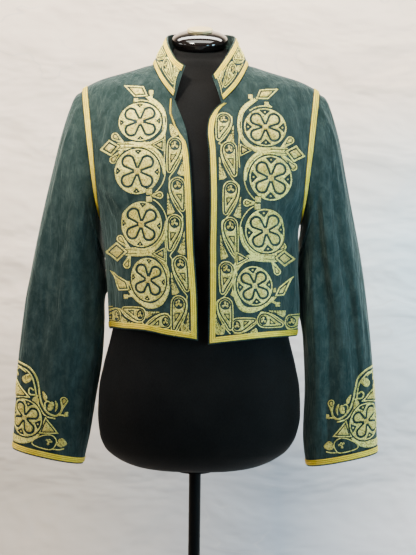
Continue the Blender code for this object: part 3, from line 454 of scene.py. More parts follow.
def armhole_half(side, count, front, inset=0.0):
    """Angles and heights from underarm to shoulder point along one half of the armhole."""
    low, top = UNDERARM_Z - inset, ridge_z(SHOULDER_X - inset)
    share = (1 - np.cos(np.linspace(0, math.pi, count + 1))) / 2
    z = low + (top - low) * share
    x0 = through(BODY["z"], BODY["half"], low)
    x = x0 + (SHOULDER_X - inset - x0) * share - 0.3 * inset * np.sin(math.pi * share)
    return np.stack([angle_at(side, x, z, front), z], axis=-1)


# Panels


def coons(left, right, bottom, top):
    """Grid of (angle, height) pairs between four edges; rows run from bottom to top.

    Rows meet the side edges level, and the shape of the top and bottom edges fades quickly.
    """
    u = np.linspace(0, 1, len(bottom))
    v = np.linspace(0, 1, len(left))[:, None]
    rows = []
    for k, share in enumerate((u, ease(u))):
        across = (1 - share) * left[:, None, k] + share * right[:, None, k]
        low = bottom[:, k] - (1 - share) * bottom[0, k] - share * bottom[-1, k]
        high = top[:, k] - (1 - share) * top[0, k] - share * top[-1, k]
        rows.append(across + (1 - v) ** 4 * low + v**4 * high)
    return np.stack(rows, axis=-1)


def seam_turn(z):
    """Turn that keeps half a seam gap from the side or shoulder line."""
    return SEAM / 2 / through(BODY["z"], BODY["half"], z)


def pairs(angle, z):
    angle, z = np.broadcast_arrays(np.asarray(angle, float), np.asarray(z, float))
    return np.stack([angle, z], axis=-1)


def neck_points(side):
    """The front neckline in the front view, from the front edge to the shoulder line."""
    start = [(EDGE[side]["x"][-1], EDGE[side]["z"][-1])]
    return spaced(start + list(zip(NECKLINE["x"], NECKLINE["z"])), NECK_FRONT_STEPS)


def back_neck_z(turn):
    return NECKLINE["z"][-1] + (BACK_NECK_Z - NECKLINE["z"][-1]) * ease(np.sin(turn))


def side_column(side, front, hole_steps):
    """Right or left boundary of a panel: the side seam, then the armhole up to the shoulder."""
    side_z = np.linspace(HEM[side]["z"][-1], UNDERARM_Z, SIDE_STEPS + 1)
    seam = pairs(turned_angle(side, seam_turn(side_z), front), side_z)
    hole = armhole_half(side, hole_steps, front)
    hole[-1] = (turned_angle(side, seam_turn(hole[-1, 1]), front), hole[-1, 1])
    return np.concatenate([seam, hole[1:]])


def front_cells(side):
    """(angle, height) grid of a front, from its front edge to its side seam and armhole."""
    neck = neck_points(side)
    edge_z = EDGE[side]["z"]
    low_z = np.linspace(edge_z[0], ROW_Z, SIDE_STEPS + 1)
    high_z = np.linspace(ROW_Z, edge_z[-1], EDGE_STEPS - SIDE_STEPS + 1)
    edge_z = np.concatenate([low_z, high_z[1:]])
    edge = np.stack([through(EDGE[side]["z"], EDGE[side]["x"], edge_z), edge_z], axis=-1)
    outline = np.concatenate([edge, neck[1:]])
    left = pairs(angle_at(side, outline[:, 0], outline[:, 1]), outline[:, 1])
    left[-1] = (turned_angle(side, seam_turn(neck[-1, 1])), neck[-1, 1])
    right = side_column(side, True, len(left) - 1 - SIDE_STEPS)
    u = np.linspace(0, 1, FRONT_STEPS + 1)
    bottom = pairs(left[0, 0] + (right[0, 0] - left[0, 0]) * u, hem_z(side, u))
    ridge = ridge_z(np.linspace(NECKLINE["x"][-1], SHOULDER_X, FRONT_STEPS + 1))
    top = pairs(turned_angle(side, seam_turn(ridge)), ridge)
    top[0], top[-1] = left[-1], right[-1]
    return coons(left, right, bottom, top)


def hem_z(side, u):
    return through(HEM[side]["u"], HEM[side]["z"], u)


def back_cells():
    """(angle, height) grid of the back, from the wearer's left to the right: angles 0 to 180."""
    left = side_column(1, False, BACK_ROWS - SIDE_STEPS)
    right = side_column(-1, False, BACK_ROWS - SIDE_STEPS)
    heights = ridge_z(np.linspace(SHOULDER_X, NECKLINE["x"][-1], BACK_SHOULDER_STEPS + 1))
    heights[-1] = NECKLINE["z"][-1]
    ridge = pairs(seam_turn(heights), heights)
    ridge[0] = left[-1]
    turn = np.linspace(0, math.pi, 2 * NECK_BACK_STEPS + 1)
    line = pairs(turn, back_neck_z(turn))
    other = pairs(math.pi - ridge[::-1, 0], ridge[::-1, 1])
    top = np.concatenate([ridge, line[1:-1], other])
    top[-1] = right[-1]
    u = np.linspace(0, 1, len(top))[:, None]
    bottom = left[0] + (right[0] - left[0]) * u
    return coons(left, right, bottom, top)


def cloth_line(cells):
    """Base points and normals of the body along a line of (angle, height) pairs."""
    angle, z = cells[..., 0], cells[..., 1]
    return body(angle, z), normals(body, angle, z)


# The front braid narrows to one cord at its top, where the edge is rolled back
NARROWS = {
    -1: table(
        "z width inset",
        (1.0, 0.0088, 0.0022), (1.318, 0.0088, 0.0022), (1.336, 0.006, 0.0042),
        (1.35, 0.0026, 0.0115), (1.362, 0.002, 0.015), (1.382, 0.002, 0.015),
        (1.4, 0.0019, 0.0085), (1.4115, 0.0019, 0.0045),
    ),
    1: table(
        "z width inset",
        (1.0, 0.0088, 0.0022), (1.372, 0.0088, 0.0022), (1.388, 0.0052, 0.0024),
        (1.4025, 0.0026, 0.0024),
    ),
}


def front_braid_line(side, share, steps=330, hem_steps=130):
    """Line at a share of the braid's width: down the front edge, then, past its mitre, the hem."""
    edge, narrows, inset = EDGE[side], NARROWS[side], BRAID_INSET + BRAID_WIDTH * share
    z = np.linspace(edge["z"][-1] - 0.001, edge["z"][0] + inset, steps + 1)
    slope = np.gradient(through(edge["z"], edge["x"], z), z)
    start, width = (np.interp(z, narrows["z"], narrows[word]) for word in ("inset", "width"))
    away = start + width * share
    x = through(edge["z"], edge["x"], z) + away * np.sqrt(1 + slope**2)
    upright = pairs(angle_at(side, x, z), z)
    start, end = upright[-1, 0], turned_angle(side, seam_turn(HEM[side]["z"][-1]))
    corner = angle_at(side, edge["x"][0], edge["z"][0])
    angles = start + (end - start) * np.linspace(0, 1, hem_steps + 1)[1:]
    level = hem_z(side, (angles - corner) / (end - corner)) + inset
    return np.concatenate([upright, pairs(angles, level)])


def armhole_loop(side, inset, count=14):
    """(angle, height) loop round the armhole: up the front and down the back."""
    up = armhole_half(side, count, True, inset)
    down = armhole_half(side, count, False, inset)[::-1]
    loop = np.concatenate([up[:-1], down[:-1]])
    loop[(0, count), 0] = turned_angle(side, 0.0)
    return loop


def collar_foot(side):
    """Keys (0 at the front tip, 1 at the middle of the back) and points of the collar's foot."""
    neck = neck_points(side)
    angle = angle_at(side, neck[:, 0], neck[:, 1])
    angle[-1] = turned_angle(side, 0.0)
    turn = np.linspace(0, math.pi / 2, NECK_BACK_STEPS + 1)[1:]
    angle = np.concatenate([angle, turned_angle(side, turn, False)])
    line = body(angle, np.concatenate([neck[:, 1], back_neck_z(turn)]))
    line += unit(line * (-1, -1, 0)) * SEAM + (0, 0, SEAM)
    keys = np.linspace(0, COLLAR_SIDE, NECK_FRONT_STEPS + 1)
    return np.concatenate([keys, np.linspace(COLLAR_SIDE, 1, NECK_BACK_STEPS + 1)[1:]]), line


def collar_edges(side, share):
    """Foot and top of the collar on one side, at shares from the front tip to the back."""
    keys, line = collar_foot(side)
    foot = np.stack([np.interp(share, keys, column) for column in line.T], axis=-1)
    top = COLLAR_TOP[side]
    x = side * top["x"] + through(SWAY["z"], SWAY["shift"], top["z"])
    line = [through(top["c"], column, share) for column in (x, top["y"], top["z"])]
    return foot, np.stack(line, axis=-1)


def collar_point(turn, height):
    """Collar point: turn 0 to 1 from the right front tip round the back to the left one."""
    turn, height = np.broadcast_arrays(np.asarray(turn, float), np.asarray(height, float))
    share = 1 - np.abs(2 * turn - 1)
    edges = [collar_edges(side, share) for side in (-1, 1)]
    foot, top = (np.where(turn[..., None] < 0.5, right, left) for right, left in zip(*edges))
    out = unit((foot + top) / 2 * (1, 1, 0))
    bow = COLLAR_BOW * np.sin(math.pi * np.clip(height, 0, 1))
    return foot + (top - foot) * height[..., None] + out * bow[..., None]


def collar_turns():
    """Stations round the collar: the panels' own points at its foot."""
    front = np.linspace(0, COLLAR_SIDE / 2, NECK_FRONT_STEPS + 1)
    back = np.linspace(COLLAR_SIDE / 2, 0.5, NECK_BACK_STEPS + 1)[1:]
    half = np.concatenate([front, back])
    return np.concatenate([half, 1 - half[-2::-1]])


def collar_line(turns, height):
    return collar_point(turns, height), -normals(collar_point, turns, height, 2e-3, 2e-2)


def sleeve_folds(side, angle, v):
    """Rise of the long soft folds and of the gathers at the sleeve head."""
    rise = 0 * angle
    for start, end, a0, a1, width, depth in zip(*SLEEVE_FOLDS[side].values()):
        along = (v - start) / (end - start)
        middle = a0 + (a1 - a0) * np.clip(along, 0, 1)
        off = (np.degrees(angle) - middle + 180) % 360 - 180
        ends = ease(along * 4) * ease((1 - along) * 3)
        rise = rise + depth * np.exp(-((off / width) ** 2)) * ends
    off = (np.degrees(angle) + 180) % 360 - 180
    wave = np.cos(np.radians(off / GATHER_SPAN * 180 * GATHERS))
    spread = ease((GATHER_SPAN - np.abs(off)) / 15)
    fade = ease(v / 0.02) * ease((GATHER_REACH - v) / GATHER_REACH)
    return rise + GATHER_DEPTH * wave * spread * fade


def sleeve_start():
    """Lowest and highest points of the sleeve's first ring, a seam's gap off the armhole."""
    z = np.linspace(UNDERARM_Z - 0.004, ridge_z(SHOULDER_X) + 0.002, 2000)
    inside = z[through(BODY["z"], BODY["half"], z) >= hole_x(z) + SEAM]
    return inside[0], inside[-1]


def sleeve_lines(side, v):
    """Outer and inner (x, z) of the sleeve at v, in the front view."""
    found = []
    low, high = sleeve_start()
    ends = ((high, SLEEVE_OUTER, ease(1 - v / 0.35)), (low, SLEEVE_INNER, ease((1 - v) / 0.45)))
    for start, line, sway in ends:
        points = [(hole_x(start) + SEAM, start)] + list(zip(line["x"], line["z"]))
        points = spaced(points, LINE_STEPS)
        x, z = (through(np.linspace(0, 1, LINE_STEPS + 1), column, v) for column in points.T)
        found.append((x + side * through(SWAY["z"], SWAY["shift"], z) * sway, z))
    return found


def hole_depth(z, front):
    """Half depth of the sleeve's first ring at a height."""
    half, ahead, behind = (through(BODY["z"], BODY[word], z) for word in ("half", "front", "back"))
    depth = np.where(front, ahead, behind)
    share = np.clip((hole_x(z) + SEAM) / half, 0, 1)
    return depth * (1 - share**SECTION_POWER) ** (1 / SECTION_POWER)


def sleeve(side, angle, v):
    """A point of a sleeve: angle round it, v from armhole (0) to cuff (1)."""
    angle, v = np.broadcast_arrays(np.asarray(angle, float), np.asarray(v, float))
    (high_x, high_z), (low_x, low_z) = sleeve_lines(side, v)
    reach_x, reach_z = (high_x - low_x) / 2, (high_z - low_z) / 2
    share = np.sign(np.cos(angle)) * np.abs(np.cos(angle)) ** (2 / SLEEVE_POWER)
    front = np.sin(angle) > 0
    low, high = sleeve_start()
    start_depth = hole_depth((low + high) / 2 + (high - low) / 2 * share, front)
    half_depth = through(SLEEVE_DEPTH["v"], SLEEVE_DEPTH["half"], v)
    depth = half_depth * np.abs(np.sin(angle)) ** (2 / SLEEVE_POWER)
    blend = ease(v / HEAD_SHARE)
    depth = (1 - blend) * start_depth + blend * depth
    y = np.where(front, -depth, depth) + through(SLEEVE_DEPTH["v"], SLEEVE_DEPTH["y"], v)
    x = side * ((high_x + low_x) / 2 + reach_x * share)
    point = np.stack([x, y, (high_z + low_z) / 2 + reach_z * share], axis=-1)
    reach = np.hypot(reach_x, reach_z)
    up = np.stack([side * reach_x, 0 * reach, reach_z], axis=-1) / reach[..., None]
    forward = np.array([0, -1, 0]) * (np.sin(angle) / half_depth)[..., None]
    out = unit(up * (np.cos(angle) / reach)[..., None] + forward)
    return point + out * sleeve_folds(side, angle, v)[..., None]


def sleeve_line(side, angle, v):
    """Points and outward normals of a sleeve."""
    near = np.clip(v, 2e-3, 1 - 2e-3)
    out = normals(lambda a, b: sleeve(side, a, b), angle, near, 1e-3, 1e-3) * side
    return sleeve(side, angle, v), out


def above_cuff(side, angle, rise):
    """Sleeve position v at a distance up from the cuff's edge."""
    run = sleeve(side, angle, 1.0) - sleeve(side, angle, 1 - CUFF_SPAN)
    return 1 - CUFF_SPAN * rise / np.linalg.norm(run, axis=-1)


def sleeve_angles():
    """Stations round a sleeve: close over the gathered head, wider below the arm."""
    head = np.linspace(-GATHER_SPAN, GATHER_SPAN, HEAD_STEPS + 1)
    rest = np.linspace(GATHER_SPAN, 360 - GATHER_SPAN, UNDER_STEPS + 1)[1:-1]
    return np.radians(np.concatenate([head, rest]))


def in_hole_plane(side, out):
    """Directions turned into the plane of the armhole."""
    x0 = through(BODY["z"], BODY["half"], UNDERARM_Z)
    slope = (SHOULDER_X - x0) / (ridge_z(SHOULDER_X) - UNDERARM_Z)
    across = unit(np.array([side, 0, -slope]))
    return unit(out - across * (out @ across)[..., None])


# Meshes


def make_mesh(name, points, faces, finish, slot, uv=None, layers=None, sharp=None):
    """An object from points and arrays of faces, one array for each number of corners."""
    corners = np.concatenate([f.ravel() for f in faces]).astype(np.int32)
    sizes = np.concatenate([np.full(len(f), f.shape[1]) for f in faces]).astype(np.int32)
    mesh = bpy.data.meshes.new(name)
    mesh.vertices.add(len(points))
    mesh.vertices.foreach_set("co", points.astype(np.float32).ravel())
    mesh.loops.add(len(corners))
    mesh.loops.foreach_set("vertex_index", corners)
    mesh.polygons.add(len(sizes))
    mesh.polygons.foreach_set("loop_start", (np.cumsum(sizes) - sizes).astype(np.int32))
    mesh.update(calc_edges=True)
    if uv is not None:
        layer = mesh.uv_layers.new(name="cut")
        layer.data.foreach_set("uv", uv.reshape(-1, 2)[corners].astype(np.float32).ravel())
    for key, values in (layers or {}).items():
        attribute = mesh.attributes.new(key, "FLOAT", "POINT")
        attribute.data.foreach_set("value", values.astype(np.float32).ravel())
    mesh.shade_smooth()
    if sharp:
        mesh.set_sharp_from_angle(angle=math.radians(sharp))
    obj = bpy.data.objects.new(name, mesh)
    obj.data.materials.append(finish)
    bpy.context.scene.collection.objects.link(obj)
    if slot:
        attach(obj, "root")
    return obj


def grid_faces(rows, columns, closed=False):
    r = np.arange(rows - 1)[:, None] * columns
    c = np.arange(columns if closed else columns - 1)[None, :]
    d = (c + 1) % columns
    return np.stack([r + c, r + d, r + columns + d, r + columns + c], axis=-1).reshape(-1, 4)


def faces_in(points, faces, out):
    """Whether most faces look against the directions out."""
    a, b, c = (points[faces[:, k]] for k in range(3))
    return np.median(np.einsum("ij,ij->i", np.cross(b - a, c - a), out[faces[:, 0]])) < 0


def faced(points, faces, out):
    """The faces, turned round where needed so that they face along out."""
    return faces[:, ::-1] if faces_in(points, faces, out) else faces


def lengths(grid, axis):
    """Running length over a grid of points along one axis."""
    step = np.linalg.norm(np.diff(grid, axis=axis), axis=-1)
    start = np.zeros_like(np.take(step, [0], axis=axis))
    return np.concatenate([start, np.cumsum(step, axis=axis)], axis=axis)


def shell(node, outer, out, closed=False):
    """The thin wall of cloth under a grid of points, which stands for a CAD node."""
    rows, columns = outer.shape[:2]
    uv = np.stack([lengths(outer, 1), lengths(outer, 0)], axis=-1)
    count = rows * columns
    flat, way = outer.reshape(-1, 3), out.reshape(-1, 3)
    quads = grid_faces(rows, columns, closed)
    index = np.arange(count).reshape(rows, columns)
    rims = [index[0, ::-1], index[-1]]
    if closed:
        rims = [np.append(rim, rim[0]) for rim in rims]
    else:
        rims += [index[:, 0], index[::-1, -1]]
    edge = [np.stack([r[:-1], r[1:], r[1:] + count, r[:-1] + count], axis=-1) for r in rims]
    faces = [quads, quads[:, ::-1] + count] + edge
    if faces_in(flat, quads, way):
        faces = [f[:, ::-1] for f in faces]
    points, uv = np.concatenate([flat, flat - way * CLOTH]), np.concatenate([uv, uv])
    obj = make_mesh(f"cloth_{node}", points, faces, CLOTH_FINISH, "cloth", uv, sharp=60)
    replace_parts(obj, node)
    return obj


# Braid: three cords laid side by side, slightly uneven, with a foot that reaches into the cloth
CORDS = 3
CORD_STEPS = 4
CORD_ROUND = 0.6
CORD_RISE = 0.001
BRAID_FOOT = 0.0005
BRAID_ROOT = -0.0006
WOBBLES = ((0.00012, 2100, 0), (0.0001, 790, 1.3))


def braid(node, line_at, closed=False):
    """The braid that stands for a CAD node, over lines read at shares (0 to 1) across it."""
    shares = np.linspace(0, 1, CORDS * CORD_STEPS + 1)
    base, out = (np.array(part) for part in zip(*[line_at(share) for share in shares]))
    ridge = np.abs(np.sin(CORDS * math.pi * shares))[:, None] ** CORD_ROUND
    along = lengths(base, 1)
    wobble = sum(size * np.sin(along * rate + start) for size, rate, start in WOBBLES)
    height = BRAID_FOOT + (CORD_RISE + wobble) * ridge

    def edged(rows, rim=None):
        low, high = (rows[:1], rows[-1:]) if rim is None else (0 * rows[:1] + rim,) * 2
        return np.concatenate([low, rows, high])

    height, ridge = edged(height, BRAID_ROOT), edged(ridge + 0 * height, 0)
    base, out, along = edged(base), edged(out), edged(along)
    across = edged(shares[:, None] + 0 * along[1:-1]) * BRAID_WIDTH
    points = (base + out * height[..., None]).reshape(-1, 3)
    faces = faced(points, grid_faces(*height.shape, closed), out.reshape(-1, 3))
    uv = np.stack([along, across], axis=-1)
    layers = {"ridge": ridge}
    obj = make_mesh(f"gold_{node}", points, [faces], BRAID_FINISH, "braid", uv, layers)
    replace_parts(obj, node)


# Cloth pieces
SIDES = ((-1, "right"), (1, "left"))
BACK_HEM_STEPS = 300
ARMHOLE_INSET = 0.002
ARMHOLE_STEPS = 130
COLLAR_ROWS = 28
COLLAR_BRAID_STEPS = 260
COLLAR_BRAID_END = 0.012
RING_SPREAD = 1.15
CUFF_BRAID_STEPS = 210


def make_fronts():
    for side, word in SIDES:
        piece = shell(f"front_{word}", *cloth_line(front_cells(side)))
        braid(f"braid_front_{word}", lambda share: cloth_line(front_braid_line(side, share)))


def make_back():
    piece = shell("back", *cloth_line(back_cells()))
    share = np.linspace(0, 1, BACK_HEM_STEPS + 1)
    low, high = HEM[1]["z"][-1], HEM[-1]["z"][-1]
    turn = seam_turn(low)
    angle, z = turn + (math.pi - 2 * turn) * share, low + (high - low) * share + BRAID_INSET
    braid("braid_back_hem", lambda at: cloth_line(pairs(angle, z + BRAID_WIDTH * at)))


def make_armhole_braids():
    for side, word in SIDES:

        def line_at(share):
            inset = ARMHOLE_INSET + BRAID_WIDTH * share
            return cloth_line(armhole_loop(side, inset, ARMHOLE_STEPS))

        braid(f"braid_armhole_{word}", line_at, closed=True)


def make_collar():
    turns = collar_turns()
    lines = [collar_line(turns, height) for height in np.linspace(0, 1, COLLAR_ROWS)]
    piece = shell("collar", *(np.array(part) for part in zip(*lines)))
    turns = np.linspace(COLLAR_BRAID_END, 1 - COLLAR_BRAID_END, COLLAR_BRAID_STEPS)
    for node, low, high in COLLAR_BRAIDS:
        braid(node, lambda share: collar_line(turns, low + (high - low) * share))


def make_sleeves():
    shares = np.linspace(0, 1, SLEEVE_RINGS + 1) ** RING_SPREAD
    angle, v = np.meshgrid(sleeve_angles(), shares)
    even = np.linspace(0, 2 * math.pi, CUFF_BRAID_STEPS, endpoint=False)
    for side, word in SIDES:
        base, out = sleeve_line(side, angle, v)
        out[0] = in_hole_plane(side, out[0])
        piece = shell(f"sleeve_{word}", base, out, closed=True)

        def line_at(share):
            rise = BRAID_INSET + BRAID_WIDTH * (1 - share)
            return sleeve_line(side, even, above_cuff(side, even, rise))

        braid(f"braid_cuff_{word}", line_at, closed=True)


# Form and neck cap
FORM_AROUND = 112
FORM_FOOT_STEPS = 24
FORM_STEPS = 150
CAP_AROUND = 96
CAP_STEPS = 22
CAP_CENTRE = 0.0008
# The cap's rim below its widest place, as shares of its half width and of its height
CAP_RIM = table("reach rise", (0.995, 0.3), (0.975, 0.18), (0.95, 0.1), (0.9, 0.013))


def turned_piece(name, node, rows, flip_foot, finish, slot, uv, sharp):
    """A closed piece from rings of points, which stands for a CAD node."""
    count, around = rows.shape[:2]
    points = rows.reshape(-1, 3)
    sides = faced(points, grid_faces(count, around, True), points - points.mean(axis=0))
    first, last = np.arange(around)[None], (np.arange(around) + (count - 1) * around)[None]
    faces = [sides, first[:, ::-1] if flip_foot else first, last]
    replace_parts(make_mesh(name, points, faces, finish, slot, uv, sharp=sharp), node)


def make_form():
    """The jersey-covered form, its neck leaning with the cap."""
    angles = np.linspace(0, 2 * math.pi, FORM_AROUND, endpoint=False)
    low, bend, high = FORM["z"][[0, 5, -1]]
    levels = [np.linspace(low, bend, FORM_FOOT_STEPS), np.linspace(bend, high, FORM_STEPS)]
    angle, z = np.meshgrid(angles, np.unique(np.concatenate([FORM["z"][:5], *levels])))
    half, front, back = (through(FORM["z"], FORM[word], z) for word in ("half", "front", "back"))
    reach = section_reach(angle, half, np.where(np.sin(angle) < 0, front, back))
    sway = through(SWAY["z"], SWAY["shift"], z) * FORM_SWAY
    sway = sway * ease((z - 0.79) / 0.1) * ease((1.5 - z) / 0.1)
    x, y = reach * np.cos(angle) + sway, reach * np.sin(angle)
    slant = ease((z - NECK_SLANT_Z) / (high - NECK_SLANT_Z)) * math.tan(math.radians(CAP_TILT))
    rows, uv = np.stack([x, y, z + y * slant], axis=-1), np.stack([angle, z], axis=-1)
    name, slot = "jersey_form", "form_jersey"
    turned_piece(name, "form_torso", rows, True, form_finish(), slot, uv, 60)


def make_cap():
    """The neck cap as a smooth turned dome, leaning forward."""
    arc = np.linspace(math.asin(CAP_FLAT / CAP_HALF), math.pi / 2, CAP_STEPS)
    heights = CAP_RISE * (CAP_WAIST + (1 - CAP_WAIST) * np.cos(arc))
    reach, rise = CAP_HALF * CAP_RIM["reach"], CAP_RISE * CAP_RIM["rise"]
    reach = np.concatenate([[CAP_CENTRE], CAP_HALF * np.sin(arc), reach, [CAP_CENTRE]])
    rise = np.concatenate([heights[:1], heights, rise, rise[-1:]])
    turn, z = np.meshgrid(np.linspace(0, 2 * math.pi, CAP_AROUND, endpoint=False), rise)
    x, y = reach[:, None] * np.cos(turn), reach[:, None] * np.sin(turn)
    cos, sin = math.cos(math.radians(CAP_TILT)), math.sin(math.radians(CAP_TILT))
    rows = np.stack([x, y * cos - z * sin, y * sin + z * cos + CAP_FOOT_Z], axis=-1)
    uv = np.stack([turn, z], axis=-1)
    turned_piece("gloss_neck_cap", "neck_cap", rows, False, gloss_finish(), "gloss_black", uv, 40)


# Gold embroidery. Each sheet is charted flat, in millimetres, as distances to the thread's edge.
# Half-widths of a pair's band and angles of its arch, for the upper (1) and the lower pair (-1)
BAND_WIDTHS = {
    1: (2.2, 3.4, 4, 3.8, 3.4, 3.4, 3.9, 4.6, 5.6),
    -1: (2.2, 3, 3.8, 4.4, 4.6, 4.2, 3.4, 3.2, 3.9, 4.8, 5.6),
}
ARCHES = {1: (74, 92, 112, 130), -1: (48, 56, 66)}
PETALS = 4
CORNERS = ((-1, -1), (1, -1), (1, 1), (-1, 1))
# A chart's distance where it is empty, the depth at which thread rows end, how far past its edge a
# motif gives its tone, the margin round a motif, and the step of the grid
FAR = 6.0
DEEPEST = 9.0
TONE_REACH = 0.3
MARGIN = 4.0
CHART_STEP = 0.7
TINY = 1e-9


class Chart:
    """A grid of distances to the gold work's edge, negative inside it, and of tones."""

    def __init__(self, low, high, step=CHART_STEP):
        self.across = np.arange(low[0], high[0] + step / 2, step)
        self.up = np.arange(low[1], high[1] + step / 2, step)
        self.edge = np.full((len(self.up), len(self.across)), FAR)
        self.tone = np.zeros_like(self.edge)

    def window(self, low, high):
        c = np.searchsorted(self.across, (low[0] - MARGIN, high[0] + MARGIN))
        r = np.searchsorted(self.up, (low[1] - MARGIN, high[1] + MARGIN))
        at = (slice(*r), slice(*c))
        x, y = np.meshgrid(self.across[at[1]], self.up[at[0]])
        return at, x, y

    def lay(self, shape, tone=0.0):
        low, high, distance = shape
        at, x, y = self.window(low, high)
        if x.size:
            d = distance(x, y)
            self.tone[at] = np.where(d < TONE_REACH, tone, self.tone[at])
            self.edge[at] = np.minimum(self.edge[at], d)

    def cut(self, shape):
        low, high, distance = shape
        at, x, y = self.window(low, high)
        if x.size:
            self.edge[at] = np.maximum(self.edge[at], -distance(x, y))


def disc(centre, radius, high=None):
    """A disc, or an oval where high is given."""
    high = high or radius
    cx, cy = centre

    def distance(x, y):
        return (np.hypot((x - cx) / radius, (y - cy) / high) - 1) * min(radius, high)

    return (cx - radius, cy - high), (cx + radius, cy + high), distance


def stroke(points, widths):
    """A line of changing half-width through points."""
    points = np.array(points, float)
    widths = np.broadcast_to(np.asarray(widths, float), (len(points),))
    if len(points) > 2:
        rows = bent(np.column_stack([points, widths]))
        points, widths = rows[:, :2], rows[:, 2]

    def distance(x, y):
        found = np.full(x.shape, np.inf)
        for a, b, wa, wb in zip(points[:-1], points[1:], widths[:-1], widths[1:]):
            run = b - a
            size = run @ run
            if size < TINY:
                continue
            t = np.clip(((x - a[0]) * run[0] + (y - a[1]) * run[1]) / size, 0, 1)
            away = np.hypot(x - a[0] - t * run[0], y - a[1] - t * run[1])
            found = np.minimum(found, away - (wa + (wb - wa) * t))
        return found

    wide = widths.max()
    return points.min(axis=0) - wide, points.max(axis=0) + wide, distance


def bent(rows, closed=False, steps=6):
    """A smooth curve through rows of numbers."""
    if closed:
        rows = np.concatenate([rows[-2:-1], rows, rows[1:2]])
    else:
        rows = np.concatenate([[2 * rows[0] - rows[1]], rows, [2 * rows[-1] - rows[-2]]])
    t = np.linspace(0, 1, steps, endpoint=False)[:, None]
    made = []
    for p, q, r, s in zip(rows[:-3], rows[1:-2], rows[2:-1], rows[3:]):
        cubic = (2 * p - 5 * q + 4 * r - s) * t**2 + (3 * q - p - 3 * r + s) * t**3
        made.append(q + 0.5 * ((r - p) * t + cubic))
    made.append(rows[-2:-1])
    return np.concatenate(made)


def patch(points, smooth=False):
    """A filled outline."""
    points = np.array(points, float)
    if smooth:
        points = bent(np.concatenate([points, points[:1]]), True)[:-1]
    after = np.roll(points, -1, axis=0)

    def distance(x, y):
        found = np.full(x.shape, np.inf)
        inside = np.zeros(x.shape, bool)
        for a, b in zip(points, after):
            run = b - a
            t = np.clip(((x - a[0]) * run[0] + (y - a[1]) * run[1]) / max(run @ run, TINY), 0, 1)
            found = np.minimum(found, np.hypot(x - a[0] - t * run[0], y - a[1] - t * run[1]))
            if abs(run[1]) > TINY:
                crosses = ((a[1] > y) != (b[1] > y)) & (x < (y - a[1]) / run[1] * run[0] + a[0])
                inside ^= crosses
        return np.where(inside, -found, found)

    return points.min(axis=0), points.max(axis=0), distance


def grown(shape, by):
    low, high, distance = shape
    return np.asarray(low) - by, np.asarray(high) + by, lambda x, y: distance(x, y) - by


def around(centre, radius, degrees, high):
    """Points on an oval at angles, 0 across and 90 up."""
    turn = np.radians(np.asarray(degrees, float))
    return np.stack([centre[0] + radius * np.cos(turn), centre[1] + high * np.sin(turn)], axis=-1)


def framed(chart, points, frame, gap):
    """A lozenge, triangle or drop with a frame, a dark line and a filled heart."""
    shape = patch(points)
    chart.cut(grown(shape, 1.4))
    chart.lay(shape)
    chart.cut(grown(shape, -frame))
    chart.lay(grown(shape, -frame - gap), 0.5)


def bead(chart, root, end, size):
    """A framed drop with a filled heart, from its narrow root to its round end."""
    root, end = np.array(root, float), np.array(end, float)
    run = end - root
    chart.cut(grown(stroke([root + run * 0.5, end], [size * 0.55, size]), 1.5))
    chart.lay(stroke([root, end], [1.6, size]))
    chart.cut(stroke([root + run * 0.45, end], [0.4, size - 1.9]))
    chart.lay(stroke([root + run * 0.66, end], [0.4, size - 3.6]), 0.4)


def block(centre, half, high):
    """A small rectangle."""
    return patch([np.add(centre, (half * x, high * y)) for x, y in CORNERS])


def roundel(chart, centre, wide, high, turn, airy):
    """A disc with four petals; airy gives larger dark marks between the petals."""

    def at(reach, degrees):
        return around(centre, wide * reach, [degrees], high * reach)[0]

    chart.cut(disc(centre, wide + 2.4, high + 2.4))
    chart.lay(disc(centre, wide, high))
    half, deep, dot = (16, 0.33, 0.81) if airy else (9.5, 0.2, 0.875)
    for way in turn + 45 + 90 * np.arange(PETALS):
        mark = [at(0.94 - deep, way), at(0.9, way - half), at(0.94, way - half), at(0.95, way)]
        mark += [at(0.94, way + half), at(0.9, way + half)]
        chart.cut(patch(mark))
        chart.lay(disc(at(dot, way), 1.5 if airy else 1.1), 0.4)
    for way in turn + 90 * np.arange(PETALS):
        petal = stroke([at(0.15, way), at(0.58, way)], [0.04 * wide, 0.22 * wide])
        chart.cut(grown(petal, 3.8))
        chart.lay(petal, 0.35)
        chart.lay(disc(at(0.5, way), 0.9), 1)
        chart.lay(disc(at(0.63, way), 1), 0.9)
    chart.lay(disc(centre, 0.14 * wide, 0.14 * high), 0.8)


